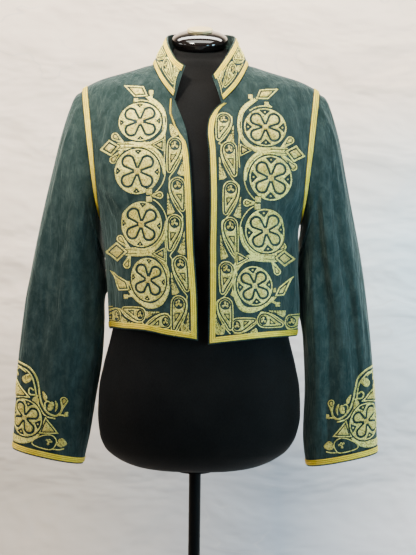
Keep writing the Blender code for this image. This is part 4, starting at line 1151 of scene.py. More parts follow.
def pair(chart, spot, up):
    """Two roundels in back-to-back bands, with lozenges and drops; up is 1 for the upper pair.

    spot holds the places, in millimetres. The outer roundel is the one by the end lozenge.
    """
    outer, inner, join = (np.array(spot[word], float) for word in ("outer", "inner", "join"))
    r1, h1, r2, h2 = spot["sizes"]

    def ring(centre, wide, high, degrees):
        return centre + (around(centre, wide, degrees, high) - centre) * (1, up)

    chart.lay(stroke(spot["band"], BAND_WIDTHS[up]))
    arc = ring(inner, r2 + 6.4, h2 + 6.2, [112, 130, 150, 170, 186])
    chart.lay(stroke([join + (6, -3 * up), *arc], [5.2, 4.8, 4.4, 3.9, 3.2, 1.2]))
    thin = ring(inner, r2 + 8.4, h2 + 8.2, [168, 186, 206, 226, 240])
    chart.lay(stroke([*thin, spot["block"]], 0.8))
    # Dark lines along the bands, and the slot in the outer one
    chart.cut(stroke(ring(outer, r1 + 5, h1 + 5, [196, 212, 232, 248]), 0.5))
    chart.cut(stroke(ring(inner, r2 + 5.2, h2 + 5, [114, 130, 150, 168]), 0.5))
    chart.cut(stroke(ring(outer, r1 + 6.2, h1 + 6, [166, 176, 187]), [0.3, 1.1, 0.3]))
    # The join with its two drops and the side lozenge
    tip, heel = np.array(spot["side_tip"], float), np.array(spot["side_heel"], float)
    run = heel - join
    chart.lay(stroke([join - (4, 0), join + run * 0.4, heel], [6.4, 7.2, 6.2]))
    for word in ("leaf_up", "leaf_down"):
        end = np.array(spot[word], float)
        lean = math.copysign(1, end[1] - heel[1])
        root = join + run * 0.78 + (0, 4.8 * lean)
        bead(chart, root, end, spot["bead"])
        chart.cut(stroke([join + run * 0.35 + (0, 2.6 * lean), heel + (3, 3.4 * lean)], 0.55))
    run = tip - heel
    flat = np.array([-run[1], run[0]])
    middle, wing = heel + run * 0.46, flat * 0.43
    framed(chart, [tip, middle + wing, heel - run * 0.05, middle - wing], 2.7, 2.4)
    # The end lozenge past the outer roundel, with its two blocks
    framed(chart, spot["kite"], 2.1, 2.1)
    for word, size in (("knob", 3.6), ("knob_far", 3.4)):
        end = np.array(spot[word], float)
        chart.lay(block(end, size, size), 0.4)
    chart.lay(stroke([spot["knob"], spot["band"][1]], [1.4, 2.2]))
    arch = ring(outer, r1 + 4.2, h1 + 4.2, ARCHES[up])
    chart.lay(stroke([spot["knob_far"], *arch], 1))
    # The framed triangle between the bands, and the line past it
    gate = np.array(spot["gate"], float)
    framed(chart, [gate + (15, 0), gate + (-4.2, 10.5), gate + (-4.2, -10.5)], 1.4, 2.2)
    chart.lay(stroke([gate + (-5, 28), gate + (-6.2, 0), gate + (-5, -28)], 0.8))


def trefoil(chart, centre, wide, high, turn):
    """Three buds on short stems."""
    centre = np.array(centre, float)
    for k in range(3):
        bud = around(centre, 0.56 * wide, [turn + 120 * k], 0.56 * high)[0]
        chart.lay(stroke([centre, bud], [0.14 * wide, 0.18 * wide]), 0.5)
        chart.lay(disc(bud, 0.3 * wide, 0.3 * high), 0.4)
    curl = around(centre, 0.66 * wide, [turn + 50, turn + 66], 0.66 * high)
    chart.lay(stroke(curl, 0.15 * wide), 0.4)


# One unit of the running vine: (across, on) from its head. The next head, on the other side, is
# PITCH further on.
PITCH = 39
DROP = (
    (-6.2, 0.5), (-5.4, -4), (-2.6, -6.7), (1.4, -6.8), (4.8, -4.4), (5.9, -0.4),
    (4.9, 5.6), (1.8, 12), (-2.2, 18.2), (-5.7, 24), (-6.4, 18), (-6.5, 9),
)
WEDGE = ((-5.1, 8), (1.9, 8), (-4.8, 17.5))
VINE_RUN = ((8, -5), (8.3, 1), (7.1, 8.5), (4.1, 16), (-0.6, 24), (-5.4, 30))
BAY = ((10.2, 6.5), (10.2, 29.5), (5.4, 28.8), (2.4, 26.6), (6.8, 17.5), (9.2, 8.5))


def vine(chart, heads, size, way):
    """A running vine through heads, each (x, y, side of its line), that runs on along way."""
    way = np.array(way, float)
    cross = np.abs(way[::-1])
    gaps = np.abs(np.diff([head[:2] for head in heads], axis=0) @ way) / PITCH
    units = []
    for (x, y, side), gap in zip(heads, np.append(gaps, gaps[-1])):

        def place(rows, x=x, y=y, side=side, gap=gap):
            rows = np.array(rows, float)
            return (x, y) + rows[..., :1] * cross * side * size + rows[..., 1:] * way * gap

        units.append((place, side, gap))
    line = np.concatenate([place(VINE_RUN) for place, *_ in units])
    for place, *_ in units:
        chart.lay(patch(place(BAY)), 0.3)
        for on in (14.5, 17.8, 21.1, 24.4):
            chart.cut(stroke(place([(8, on), (10.8, on - 1.4)]), 0.32 * size))
        chart.cut(stroke(place([(8.8, 12.5), (5.4, 25)]), 0.3 * size))
    chart.cut(stroke(line, 1.5 * size))
    chart.lay(stroke(line, 0.58 * size))
    for place, side, gap in units:
        drop = patch(place(DROP), True)
        chart.lay(grown(drop, 2.6 * size))
        chart.cut(grown(drop, 1.45 * size))
        chart.lay(drop)
        head = place((-0.3, -1.2))
        wide, high = (5.3 * size, 5.3 * gap) if way[0] == 0 else (5.3 * gap, 5.3 * size)
        chart.cut(disc(head, wide, high))
        trefoil(chart, head, 0.84 * wide, 0.84 * high, 60 * side + 30)
        chart.cut(patch(place(WEDGE)))
        chart.lay(grown(patch(place(WEDGE)), -1.15 * size), 0.4)


def leaf(chart, points, tone, veins):
    """A filled leaf with dark veins across it."""
    points = np.array(points, float)
    chart.lay(patch(points, True), tone)
    a, b = points[0], points[len(points) // 2]
    flat = np.array([-(b - a)[1], (b - a)[0]]) * 0.22
    for share in np.linspace(0.3, 0.75, veins):
        middle = a + (b - a) * share
        chart.cut(stroke([middle, middle + flat + (b - a) * 0.08], 0.5))


def contour(chart):
    """Points (across, up), edge distances and faces of the gold work on a chart."""
    edge = np.clip(chart.edge, -DEEPEST, DEEPEST)
    edge[[0, -1], :] = edge[:, [0, -1]] = 1.0
    rows, columns = edge.shape
    inside = edge < 0
    x, y = np.meshgrid(chart.across, chart.up)
    places = [np.stack([x[inside], y[inside]], axis=-1)]
    depth, tones, ids, count = [-edge[inside]], [chart.tone[inside]], [], 0

    def number(mask):
        nonlocal count
        ids.append(np.full(mask.shape, -1))
        ids[-1][mask] = np.arange(count, count + mask.sum())
        count += mask.sum()

    # Points at the corners inside, then where the edge crosses the level and the upright lines
    number(inside)
    for step in ((0, 1), (1, 0)):
        a = (slice(0, rows - step[0]), slice(0, columns - step[1]))
        b = (slice(step[0], rows), slice(step[1], columns))
        crossed = inside[a] != inside[b]
        number(crossed)
        t = (edge[a] / np.where(crossed, edge[a] - edge[b], 1))[crossed]
        spot = [(grid[a][crossed] * (1 - t) + grid[b][crossed] * t) for grid in (x, y)]
        places.append(np.stack(spot, axis=-1))
        depth.append(np.zeros(crossed.sum()))
        tones.append(np.where(inside[a], chart.tone[a], chart.tone[b])[crossed])
    corner, level, upright = ids
    ring = [
        corner[:-1, :-1], level[:-1], corner[:-1, 1:], upright[:, 1:],
        corner[1:, 1:], level[1:], corner[1:, :-1], upright[:, :-1],
    ]
    ring = np.stack([r.ravel() for r in ring], axis=-1)
    ring = ring[(ring >= 0).any(axis=1)]
    shape = ring >= 0
    code = shape @ (1 << np.arange(8))
    faces = {}
    for kind in np.unique(code):
        group = ring[code == kind]
        used = group[:, shape[code == kind][0]]
        if used.shape[1] > 2:
            faces.setdefault(used.shape[1], []).append(used)
    faces = [np.concatenate(group) for group in faces.values()]
    return np.concatenate(places), np.concatenate(depth), np.concatenate(tones), faces


THREAD_RISE = 0.00085
THREAD_ROUND = 1.7
THREAD_FOOT = 0.0002
THREAD_ROOT = -0.0003
TONE_RISE = 0.45


def raised(name, chart, cloth_at, replaced=()):
    """The gold work of a chart as a mesh on the cloth."""
    flat, depth, tone, faces = contour(chart)
    base, out = cloth_at(flat)
    share = np.clip(depth / THREAD_ROUND, 0, 1)
    puff = np.sqrt(1 - (1 - share) ** 2)
    high = THREAD_FOOT + THREAD_RISE * puff * (1 + TONE_RISE * tone)
    height = np.where(depth > 0, high, THREAD_ROOT)
    points = base + out * height[:, None]
    faces = [faced(points, face, out) for face in faces]
    layers = {"edge": depth, "tone": tone}
    obj = make_mesh(name, points, faces, GOLD_FINISH, "gold_work", flat / 1000, layers)
    if replaced:
        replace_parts(obj, *replaced)


# Places of the motifs on each front, in millimetres: x from the middle, z from the floor
FRONT_SPOTS = {
    -1: {
        "upper": {
            "outer": (97, 1369.3), "inner": (100.4, 1288), "join": (93, 1329.5),
            "sizes": (35, 31.8, 36.6, 36.6), "turns": (43, 47), "bead": 6.4,
            "band": ((89, 1414), (79, 1406), (69.5, 1398.5), (61, 1387), (57.2, 1370), (58.5, 1353),
                     (66.5, 1340), (79, 1332), (93, 1329.5)),
            "side_tip": (163, 1325), "side_heel": (131, 1329),
            "leaf_up": (137.5, 1345.5), "leaf_down": (140, 1307.5),
            "kite": ((125.5, 1432.5), (92.5, 1429.5), (85, 1413), (107, 1411.5)),
            "knob": (80, 1419), "knob_far": (104.5, 1405.5),
            "block": (80, 1255), "gate": (62.5, 1330.5),
        },
        "lower": {
            "outer": (86, 1115.4), "inner": (93.8, 1203.5), "join": (92.5, 1159.5),
            "sizes": (28.2, 34.6, 33, 36), "turns": (52, 50), "bead": 6.2,
            "band": ((119, 1099), (111.5, 1090), (99.5, 1080), (84, 1073.5), (68.5, 1079),
                     (58.5, 1094.5), (54, 1114), (56, 1134), (65, 1149.5), (78, 1157.5),
                     (92.5, 1159.5)),
            "side_tip": (156, 1160), "side_heel": (119.5, 1160),
            "leaf_up": (129.5, 1181), "leaf_down": (120, 1139),
            "kite": ((153.5, 1130), (122, 1113), (117.5, 1098.5), (137.5, 1097)),
            "knob": (124.5, 1087.5), "knob_far": (118, 1109.5),
            "block": (80, 1243), "gate": (61, 1156.5),
        },
        "blocks": ((81, 1254.8), (81, 1243.2)), "drop": ((78, 1249), (64.5, 1249.5)),
        "vine": ((40, 1328.5, -1), (36.5, 1264, 1), (40, 1204, -1), (33.5, 1139.5, 1),
                 (38, 1076, -1)),
        "hem": ((61, 1050, 1), (102, 1059, -1), (145, 1056, 1)),
        "leaves": (
            ((48.5, 1365), (38, 1356), (35.5, 1347.5), (46, 1345)),
            ((34, 1049), (20.5, 1035), (21, 1033), (34, 1033.5)),
        ),
    },
    1: {
        "upper": {
            "outer": (104.5, 1362.7), "inner": (112.8, 1280), "join": (98.5, 1323.5),
            "sizes": (34.4, 31.4, 34.6, 36), "turns": (46, 44), "bead": 6.6,
            "band": ((93, 1411.5), (83.5, 1404.5), (73.5, 1396.5), (66, 1385.5), (62.8, 1368),
                     (64.5, 1350), (72.5, 1336), (84.5, 1327.5), (98.5, 1323.5)),
            "side_tip": (170.5, 1318.5), "side_heel": (138, 1324),
            "leaf_up": (145, 1343), "leaf_down": (149.5, 1300),
            "kite": ((128, 1429.5), (96.5, 1426.5), (89.5, 1410), (109.5, 1410)),
            "knob": (81, 1413.5), "knob_far": (107, 1402),
            "block": (91, 1244), "gate": (67.5, 1323.5),
        },
        "lower": {
            "outer": (83.2, 1107.5), "inner": (104.6, 1195.2), "join": (89.5, 1153.5),
            "sizes": (28.8, 31.2, 33.4, 35.2), "turns": (50, 52), "bead": 6.2,
            "band": ((117, 1091), (109, 1084.5), (94.5, 1075), (77, 1069), (62, 1072.5),
                     (53.5, 1088), (50, 1108), (52.5, 1128), (62.5, 1143.5), (75, 1151),
                     (89.5, 1153.5)),
            "side_tip": (152.5, 1152), "side_heel": (120.5, 1152.5),
            "leaf_up": (133, 1171.5), "leaf_down": (121.5, 1131),
            "kite": ((148, 1124.5), (123, 1105.5), (115.5, 1091), (131.5, 1092.5)),
            "knob": (121, 1078), "knob_far": (114, 1101),
            "block": (90.5, 1234), "gate": (60.5, 1151),
        },
        "blocks": ((92, 1245), (91, 1233.5)), "drop": ((88, 1239), (74, 1239)),
        "vine": ((38, 1372.5, 1), (45.5, 1323, -1), (49, 1259, 1), (47, 1200, -1),
                 (40, 1132, 1), (34.5, 1075, -1)),
        "hem": ((55, 1044, -1), (98, 1053, 1), (146, 1049, -1)),
        "leaves": (((33, 1047), (19.5, 1034), (20, 1030.5), (33, 1030.5)),),
    },
}
VINE_SIZE = 1.52
HEM_SIZE = 1.45
SEAM_CLEAR = 3.0


def chart_front(side):
    spots = FRONT_SPOTS[side]
    chart = Chart((12, 1020), (184, 1440))
    vine(chart, spots["hem"], HEM_SIZE, (1, 0))
    vine(chart, spots["vine"], VINE_SIZE, (0, -1))
    for word, up in (("upper", 1), ("lower", -1)):
        pair(chart, spots[word], up)
    for spot in (spots["upper"], spots["lower"]):
        r1, h1, r2, h2 = spot["sizes"]
        roundel(chart, spot["outer"], r1, h1, spot["turns"][0], side > 0)
        roundel(chart, spot["inner"], r2, h2, spot["turns"][1], side > 0)
    bead(chart, *spots["drop"], 6)
    for x, z in spots["blocks"]:
        chart.cut(grown(block((x, z), 4.6, 4.4), 1))
        chart.lay(block((x, z), 4.6, 4.4), 0.4)
    for points in spots["leaves"]:
        leaf(chart, points, 0.3, 3)
    half = through(BODY["z"], BODY["half"], chart.up / 1000) * 1000 - SEAM_CLEAR
    chart.edge[chart.across[None, :] > half[:, None]] = 1.0
    return chart


def front_cloth_at(side):
    def cloth_at(flat):
        x, z = flat[:, 0] / 1000, flat[:, 1] / 1000
        return cloth_line(pairs(angle_at(side, x, z), z))

    return cloth_at


# The collar's vine: millimetres along the collar from the right front tip, and up from its foot
COLLAR_HEADS = ((216, 28), (172, 28), (127.5, 27.5), (83, 27), (38.7, 26.9))
COLLAR_FAR_HEADS = ((220, 28), (176, 28), (132, 27.5), (88, 27), (43.9, 26.2))
COLLAR_SIZE = 1.32


def collar_run():
    """Turns round the collar and the running length at half height, in millimetres."""
    turns = np.linspace(0, 1, 1601)
    return turns, lengths(collar_point(turns, 0.5), 0) * 1000


def chart_collar(length):
    chart = Chart((1, 9.5), (length - 1, 44.5))
    signs = (1, -1, 1, -1, 1)
    vine(chart, [(*head, s) for head, s in zip(COLLAR_HEADS, signs)], COLLAR_SIZE, (-1, 0))
    far = [(length - u, v, s) for (u, v), s in zip(COLLAR_FAR_HEADS, signs)]
    vine(chart, far, COLLAR_SIZE, (1, 0))
    for flip in (lambda u: u, lambda u: length - u):
        corner = [(flip(u), v) for u, v in ((10.5, 21.5), (9.6, 42.5), (25, 42.8), (15, 31))]
        chart.lay(patch(corner), 0.3)
        for v in (27, 32, 37):
            chart.cut(stroke([(flip(10.5), v), (flip(15.5), v + 3.5)], 0.45))
        line = [(flip(u), v) for u, v in ((5, 9.6), (6.6, 18), (8.2, 30), (7.8, 43))]
        beyond = ((0, 0), (6.4, 0), (9.4, 30), (9, 46), (0, 46))
        chart.cut(patch([(flip(u), v) for u, v in beyond]))
        chart.lay(stroke(line, 0.8))
    return chart


def collar_cloth_at(flat):
    turns, length = collar_run()
    turn = np.interp(flat[:, 0], length, turns)
    foot, top = collar_point(turn, 0), collar_point(turn, 1)
    return collar_line(turn, flat[:, 1] / 1000 / np.linalg.norm(top - foot, axis=-1))


# A cuff's motif: millimetres round the cuff's edge from its outer line, and up from the edge. It is
# drawn for the half that the photo shows, and turned over at CUFF_MIDDLE for the back.
CUFF_MIDDLE = 6.0
CUFF_VINE = (
    (6, 145.5), (24.3, 144.5), (39.8, 141), (51, 130), (57, 114), (60.3, 101),
    (66.5, 86.5), (76.5, 75.8), (87.9, 73), (94.7, 79.1), (97.4, 88.3),
)


def chart_cuff():
    chart = Chart((CUFF_MIDDLE, 13), (118, 152))
    inward = ((0, -6.5), (-2, -6.4), (-5, -5.2), (-6, -2.5), (-6.2, -0.6), (-6, -1),
              (-5.6, -3.2), (-3.6, -5.4), (0, -4.6))
    chart.lay(stroke(CUFF_VINE, 1.5))
    chart.lay(stroke(np.array(CUFF_VINE[:9]) + inward, 1.1))
    # Curls, a leaf and a tulip inside the vine
    chart.lay(stroke([(16, 125), (13, 131), (18, 136), (25, 136), (33, 133)], 1.1))
    chart.lay(disc((15.5, 124.5), 2.4), 0.4)
    inside = ((29, 117), (28.5, 123.5), (38, 130.5), (46, 128), (42.5, 119.5), (35, 114.5))
    leaf(chart, inside, 0.4, 3)
    curl = [(52.5, 99.5), (45, 98.5), (41.5, 103.5), (44.5, 109), (49, 107)]
    chart.lay(stroke(curl, 1.2))
    chart.lay(stroke([(57, 99), (53, 95), (50.5, 90)], 1.4))
    leaf(chart, ((49.5, 86.5), (50, 93), (54.5, 98), (60, 92), (58.5, 84.5)), 0.3, 0)
    # Leaves, bud and block outside it
    leaf(chart, ((64.5, 108), (68, 106.5), (73, 101), (72, 94.5), (67.5, 97)), 0.3, 0)
    chart.lay(stroke([(72, 83), (70.5, 90), (74.5, 94.5), (78.5, 92)], 1))
    leaf(chart, ((76.5, 80), (76, 88), (80, 95), (84.5, 92), (82.5, 82)), 0.4, 2)
    leaf(chart, ((87, 79), (90.5, 88), (88.5, 95), (85, 97.5), (86.8, 89)), 0.3, 0)
    bead(chart, (97.2, 87), (98.3, 100.5), 6)
    chart.lay(stroke([(92, 75), (99, 76.5), (104, 76.5)], 1.2))
    chart.lay(patch([(101, 74.5), (107, 76), (106.5, 84), (101.5, 82)]), 0.4)
    # The band under the roundel, its lower line, and the triangles
    band = ((6, 20.5), (24, 19.5), (42, 22), (55, 28.5), (65.5, 40.5), (70.5, 54.5),
            (72.5, 66.5))
    chart.lay(stroke(band, (5.6, 5.8, 5.6, 4.6, 3.2, 2.2, 1.4)))
    framed(chart, ((73.4, 68.5), (97, 45), (65, 38.5)), 2, 1.8)
    framed(chart, ((6, 121.5), (46, 93), (6, 84), (-34, 93)), 2.2, 2.2)
    # The drop by the edge, with buds
    drop = ((58, 20.5), (70, 33), (84, 38.5), (92.5, 33.5), (91.5, 24), (84, 18))
    drop = patch(drop, True)
    chart.lay(grown(drop, 2.8))
    chart.cut(grown(drop, 1.2))
    trefoil(chart, (83, 28.5), 6.8, 6.4, 20)
    leaf(chart, ((96, 26.5), (98.5, 36.5), (104.5, 38.5), (112, 31), (104, 24)), 0.4, 2)
    chart.lay(stroke([(90, 18), (100, 19), (108, 22)], 1))
    roundel(chart, (38.5, 58.4), 30, 30.5, 33, True)
    chart.edge = np.concatenate([chart.edge[:, :0:-1], chart.edge], axis=1)
    chart.tone = np.concatenate([chart.tone[:, :0:-1], chart.tone], axis=1)
    chart.across = np.concatenate([2 * CUFF_MIDDLE - chart.across[:0:-1], chart.across])
    return chart


def cuff_cloth_at(side):
    angles = np.radians(np.arange(-180, 361, 0.5))
    edge = sleeve(side, angles, 1)
    round_it = lengths(edge, 0) * 1000
    round_it -= np.interp(0, angles, round_it)

    def cloth_at(flat):
        angle = np.interp(flat[:, 0], round_it, angles)
        return sleeve_line(side, angle, above_cuff(side, angle, flat[:, 1] / 1000))

    return cloth_at


def make_embroidery():
    raised("gold_work_collar", chart_collar(collar_run()[1][-1]), collar_cloth_at)
    for side, word in SIDES:
        nodes = [f"rosette_{word}_{i}" for i in (1, 2, 3, 4)]
        raised(f"gold_work_front_{word}", chart_front(side), front_cloth_at(side), nodes)
        nodes = [f"rosette_cuff_{word}"]
        raised(f"gold_work_cuff_{word}", chart_cuff(), cuff_cloth_at(side), nodes)


# Materials


class Finish:
    """A procedural material, with the nodes that its colour, roughness and relief come from."""

    def __init__(self, name, colour, roughness, metallic=0.0):
        self.material = bpy.data.materials.new(name)
        self.material.use_nodes = True
        self.tree = self.material.node_tree
        self.shader = self.tree.nodes["Principled BSDF"]
        self.give({"Base Color": (*colour, 1), "Roughness": roughness, "Metallic": metallic})
        self.place = self.node("ShaderNodeTexCoord").outputs["Object"]

    def fill(self, made, inputs):
        """Each named input of a node gets a link or a constant."""
        for key, value in inputs.items():
            if isinstance(value, bpy.types.NodeSocket):
                self.tree.links.new(value, made.inputs[key])
            else:
                made.inputs[key].default_value = value
        return made

    def give(self, inputs):
        self.fill(self.shader, inputs)

    def node(self, kind, inputs=None, **settings):
        made = self.tree.nodes.new(kind)
        for key, value in settings.items():
            setattr(made, key, value)
        return self.fill(made, inputs or {})

    def stretched(self, *scale):
        inputs = {"Vector": self.place, "Scale": scale}
        return self.node("ShaderNodeMapping", inputs).outputs["Vector"]

    def attribute(self, name):
        return self.node("ShaderNodeAttribute", attribute_name=name).outputs["Fac"]

    def noise(self, place, scale, detail, roughness, distortion=0.0):
        inputs = {"Vector": place, "Scale": scale, "Detail": detail, "Roughness": roughness}
        inputs["Distortion"] = distortion
        return self.node("ShaderNodeTexNoise", inputs).outputs["Fac"]

    def span(self, value, low, high, to_low=0.0, to_high=1.0):
        """The range low to high of a value, read as to_low to to_high."""
        inputs = {"Value": value, "From Min": low, "From Max": high}
        inputs.update({"To Min": to_low, "To Max": to_high})
        return self.node("ShaderNodeMapRange", inputs).outputs["Result"]

    def mix(self, share, *colours):
        first, second = (c if isinstance(c, bpy.types.NodeSocket) else (*c, 1) for c in colours)
        made = self.node("ShaderNodeMix", {0: share}, data_type="RGBA")
        return self.fill(made, {6: first, 7: second}).outputs[2]

    def calc(self, operation, first, second=0.0):
        return self.node("ShaderNodeMath", {0: first, 1: second}, operation=operation).outputs[0]

    def line_in(self, value, width, strength):
        """A thin line of a noise, where it passes its middle."""
        off = self.calc("ABSOLUTE", self.calc("SUBTRACT", value, 0.5))
        return self.span(off, 0.0, width, strength, 0.0)

    def bump(self, height, distance, strength, under=None):
        inputs = {"Height": height, "Distance": distance, "Strength": strength}
        if under is not None:
            inputs["Normal"] = under
        return self.node("ShaderNodeBump", inputs).outputs["Normal"]


def cloth_finish():
    """Dark green napped cloth, mottled where the nap lies differently; painted highlights on thin
    wrinkles.
    """
    f = Finish("green_nap", (0.03, 0.06, 0.055), 0.92)
    broad = f.noise(f.stretched(1, 1, 0.4), 12.0, 3.0, 0.55, 0.4)
    cloud = f.noise(f.stretched(1, 1, 0.55), 75.0, 6.0, 0.7, 0.4)
    fine = f.noise(f.place, 320.0, 3.0, 0.7)
    ridge = f.line_in(f.noise(f.stretched(1, 1, 0.15), 46.0, 2.0, 0.45, 0.3), 0.03, 1.0)
    colour = f.mix(f.span(broad, 0.32, 0.68), (0.009, 0.021, 0.02), (0.02, 0.038, 0.035))
    colour = f.mix(f.span(cloud, 0.42, 0.8, 0.0, 0.75), colour, (0.07, 0.102, 0.092))
    colour = f.mix(f.span(fine, 0.3, 0.7, 0.0, 0.45), colour, (0.016, 0.034, 0.03))
    # Pale colour along the thin ridge lines: painted highlights on the fine wrinkles
    painted_highlight = f.calc("MULTIPLY", ridge, f.span(broad, 0.45, 0.75, 0.0, 0.16))
    colour = f.mix(painted_highlight, colour, (0.095, 0.135, 0.125))
    relief = f.bump(fine, 0.00025, 0.5)
    relief = f.bump(cloud, 0.0008, 0.35, relief)
    creased = f.noise(f.stretched(1, 1, 0.16), 84.0, 3.0, 0.55, 0.4)
    relief = f.bump(creased, 0.008, 0.6, relief)
    relief = f.bump(ridge, 0.0007, 0.5, relief)
    f.give({"Base Color": colour, "Roughness": f.span(cloud, 0.3, 0.7, 0.98, 0.8)})
    f.give({"Sheen Weight": 0.2, "Sheen Roughness": 0.45, "Sheen Tint": (0.62, 0.8, 0.74, 1)})
    f.give({"Specular IOR Level": 0.15, "Normal": relief})
    return f.material


def braid_finish():
    """Yellow metallic braid: bright along each cord, painted shade in brown between the cords, pale
    painted highlights.
    """
    f = Finish("gold_braid", (0.8, 0.56, 0.1), 0.42, 0.5)
    uv = f.node("ShaderNodeUVMap", uv_map="cut").outputs["UV"]
    inputs = {"Vector": uv, "Scale": 210.0, "Distortion": 1.2}
    twist = f.node("ShaderNodeTexWave", inputs, bands_direction="DIAGONAL").outputs["Fac"]
    painted_highlight = f.noise(f.place, 70.0, 4.0, 0.7)
    speck = f.noise(f.place, 900.0, 2.0, 0.7)
    on_cord = f.span(f.attribute("ridge"), 0.05, 0.65)
    # Brown between the cords and at the rims: painted shade in the grooves
    colour = f.mix(on_cord, (0.16, 0.09, 0.006), (1.0, 0.74, 0.03))
    # Pale yellow patches: painted highlights
    colour = f.mix(f.span(painted_highlight, 0.45, 0.75, 0.0, 0.6), colour, (1.0, 0.8, 0.14))
    colour = f.mix(f.span(speck, 0.5, 0.72, 0.0, 0.6), colour, (0.28, 0.16, 0.012))
    f.give({"Base Color": colour, "Roughness": f.span(speck, 0.3, 0.7, 0.36, 0.62)})
    f.give({"Normal": f.bump(twist, 0.0004, 0.7)})
    return f.material


def gold_finish():
    """Pale gold thread in rows that follow each shape's edge, petals a shade browner; painted
    highlights and painted shade between rows.
    """
    f = Finish("gold_thread", (0.86, 0.72, 0.26), 0.42, 0.65)
    rows = f.calc("SINE", f.calc("MULTIPLY", f.attribute("edge"), 2 * math.pi / THREAD_ROUND))
    row = f.span(rows, -1.0, 1.0)
    thread = f.noise(f.place, 380.0, 3.0, 0.75)
    painted_highlight = f.noise(f.place, 60.0, 5.0, 0.7)
    colour = f.mix(f.attribute("tone"), (1.0, 0.87, 0.2), (0.68, 0.46, 0.07))
    # Pale patches: painted highlights
    colour = f.mix(f.span(painted_highlight, 0.42, 0.7, 0.0, 0.6), colour, (1.0, 0.97, 0.38))
    colour = f.mix(f.span(thread, 0.5, 0.62, 0.0, 0.9), colour, (0.16, 0.12, 0.015))
    # Dark lines in the troughs between the rows: painted shade in the grooves
    colour = f.mix(f.span(row, 0.0, 0.45, 0.55, 0.0), colour, (0.18, 0.12, 0.02))
    f.give({"Base Color": colour, "Roughness": f.span(thread, 0.3, 0.7, 0.38, 0.66)})
    f.give({"Normal": f.bump(thread, 0.0004, 0.6, f.bump(row, 0.0005, 0.8))})
    return f.material


def form_finish():
    f = Finish("black_jersey", (0.005, 0.0047, 0.0044), 0.85)
    knit = f.noise(f.stretched(1, 1, 0.4), 700.0, 2.0, 0.5)
    soft = f.span(f.noise(f.place, 14.0, 3.0, 0.6), 0.3, 0.7)
    f.give({"Base Color": f.mix(soft, (0.0034, 0.0031, 0.0029), (0.0062, 0.0057, 0.0054))})
    f.give({"Roughness": f.span(knit, 0.3, 0.7, 0.75, 0.95), "Normal": f.bump(knit, 0.0003, 0.5)})
    f.give({"Sheen Weight": 0.04, "Sheen Roughness": 0.4, "Specular IOR Level": 0.12})
    return f.material


def gloss_finish():
    f = Finish("gloss_black_cap", (0.01, 0.007, 0.006), 0.1)
    f.give({"Roughness": f.span(f.noise(f.place, 130.0, 4.0, 0.6), 0.35, 0.75, 0.05, 0.14)})
    f.give({"Coat Weight": 0.25, "Coat Roughness": 0.04})
    return f.material


def brass_finish():
    f = Finish("pale_brass_plate", (0.72, 0.62, 0.4), 0.35, 0.75)
    brushed = f.noise(f.stretched(1, 18, 1), 120.0, 3.0, 0.6)
    f.give({"Base Color": f.mix(brushed, (0.66, 0.5, 0.2), (0.92, 0.8, 0.48))})
    f.give({"Roughness": f.span(brushed, 0.3, 0.7, 0.28, 0.46)})
    return f.material


def stand_finish():
    f = Finish("stand_black_paint", (0.003, 0.003, 0.003), 0.5)
    grain = f.noise(f.place, 420.0, 3.0, 0.6)
    f.give({"Roughness": f.span(grain, 0.3, 0.7, 0.3, 0.48), "Specular IOR Level": 0.12})
    f.give({"Normal": f.bump(grain, 0.0001, 0.3)})
    return f.material


def wall_finish():
    """Pale backdrop: painted warm light on the left, painted cool light on the right, painted shade
    below, faint creases.
    """
    f = Finish("pale_wall", (0.8, 0.76, 0.72), 0.9)
    x, _, z = f.node("ShaderNodeSeparateXYZ", {0: f.place}).outputs
    faint = f.noise(f.place, 3.0, 3.0, 0.6)
    # The warm base tint: painted warm light
    colour = f.mix(faint, (0.92, 0.74, 0.59), (0.99, 0.82, 0.67))
    # Cool tint towards the right: painted cool light
    cool = f.calc("MULTIPLY", f.span(x, 0.0, 0.85), f.span(z, 1.75, 1.25))
    colour = f.mix(cool, colour, (0.6, 0.85, 1.0))
    # Greyer and darker below, bluish in the middle and brown on the left: painted shade with
    # painted light tints
    low = f.mix(f.span(x, -0.5, 0.25), (0.48, 0.41, 0.345), (0.235, 0.28, 0.34))
    low = f.mix(f.span(x, 0.25, 0.75), low, (0.6, 0.61, 0.63))
    colour = f.mix(f.span(z, 1.1, 0.5), colour, low)
    fold = f.noise(f.stretched(0.8, 1.0, 1.7), 3.4, 3.0, 0.5, 0.25)
    # Grey lines along the folds: painted shade in the creases
    crease = f.calc("MULTIPLY", f.line_in(fold, 0.012, 0.22), f.span(faint, 0.45, 0.6))
    colour = f.mix(crease, colour, (0.45, 0.43, 0.42))
    f.give({"Base Color": colour, "Normal": f.bump(fold, 0.06, 0.8)})
    return f.material


# Stage, light and camera

FLOOR_FRONT, WALL_Y, WALL_TOP, WALL_HALF = -3.5, 1.6, 4.2, 4
WALL_BEND = 0.6
FLOOR_DROP = 0.0005
VIEW_HEIGHT = 1.12
VIEW_X = 0.0184
VIEW_AWAY = 1.8
VIEW_ANGLE = 29.4
VIEW_ROLL = 0.659
SENSOR = 36
ROOM_GLOW = 0.08
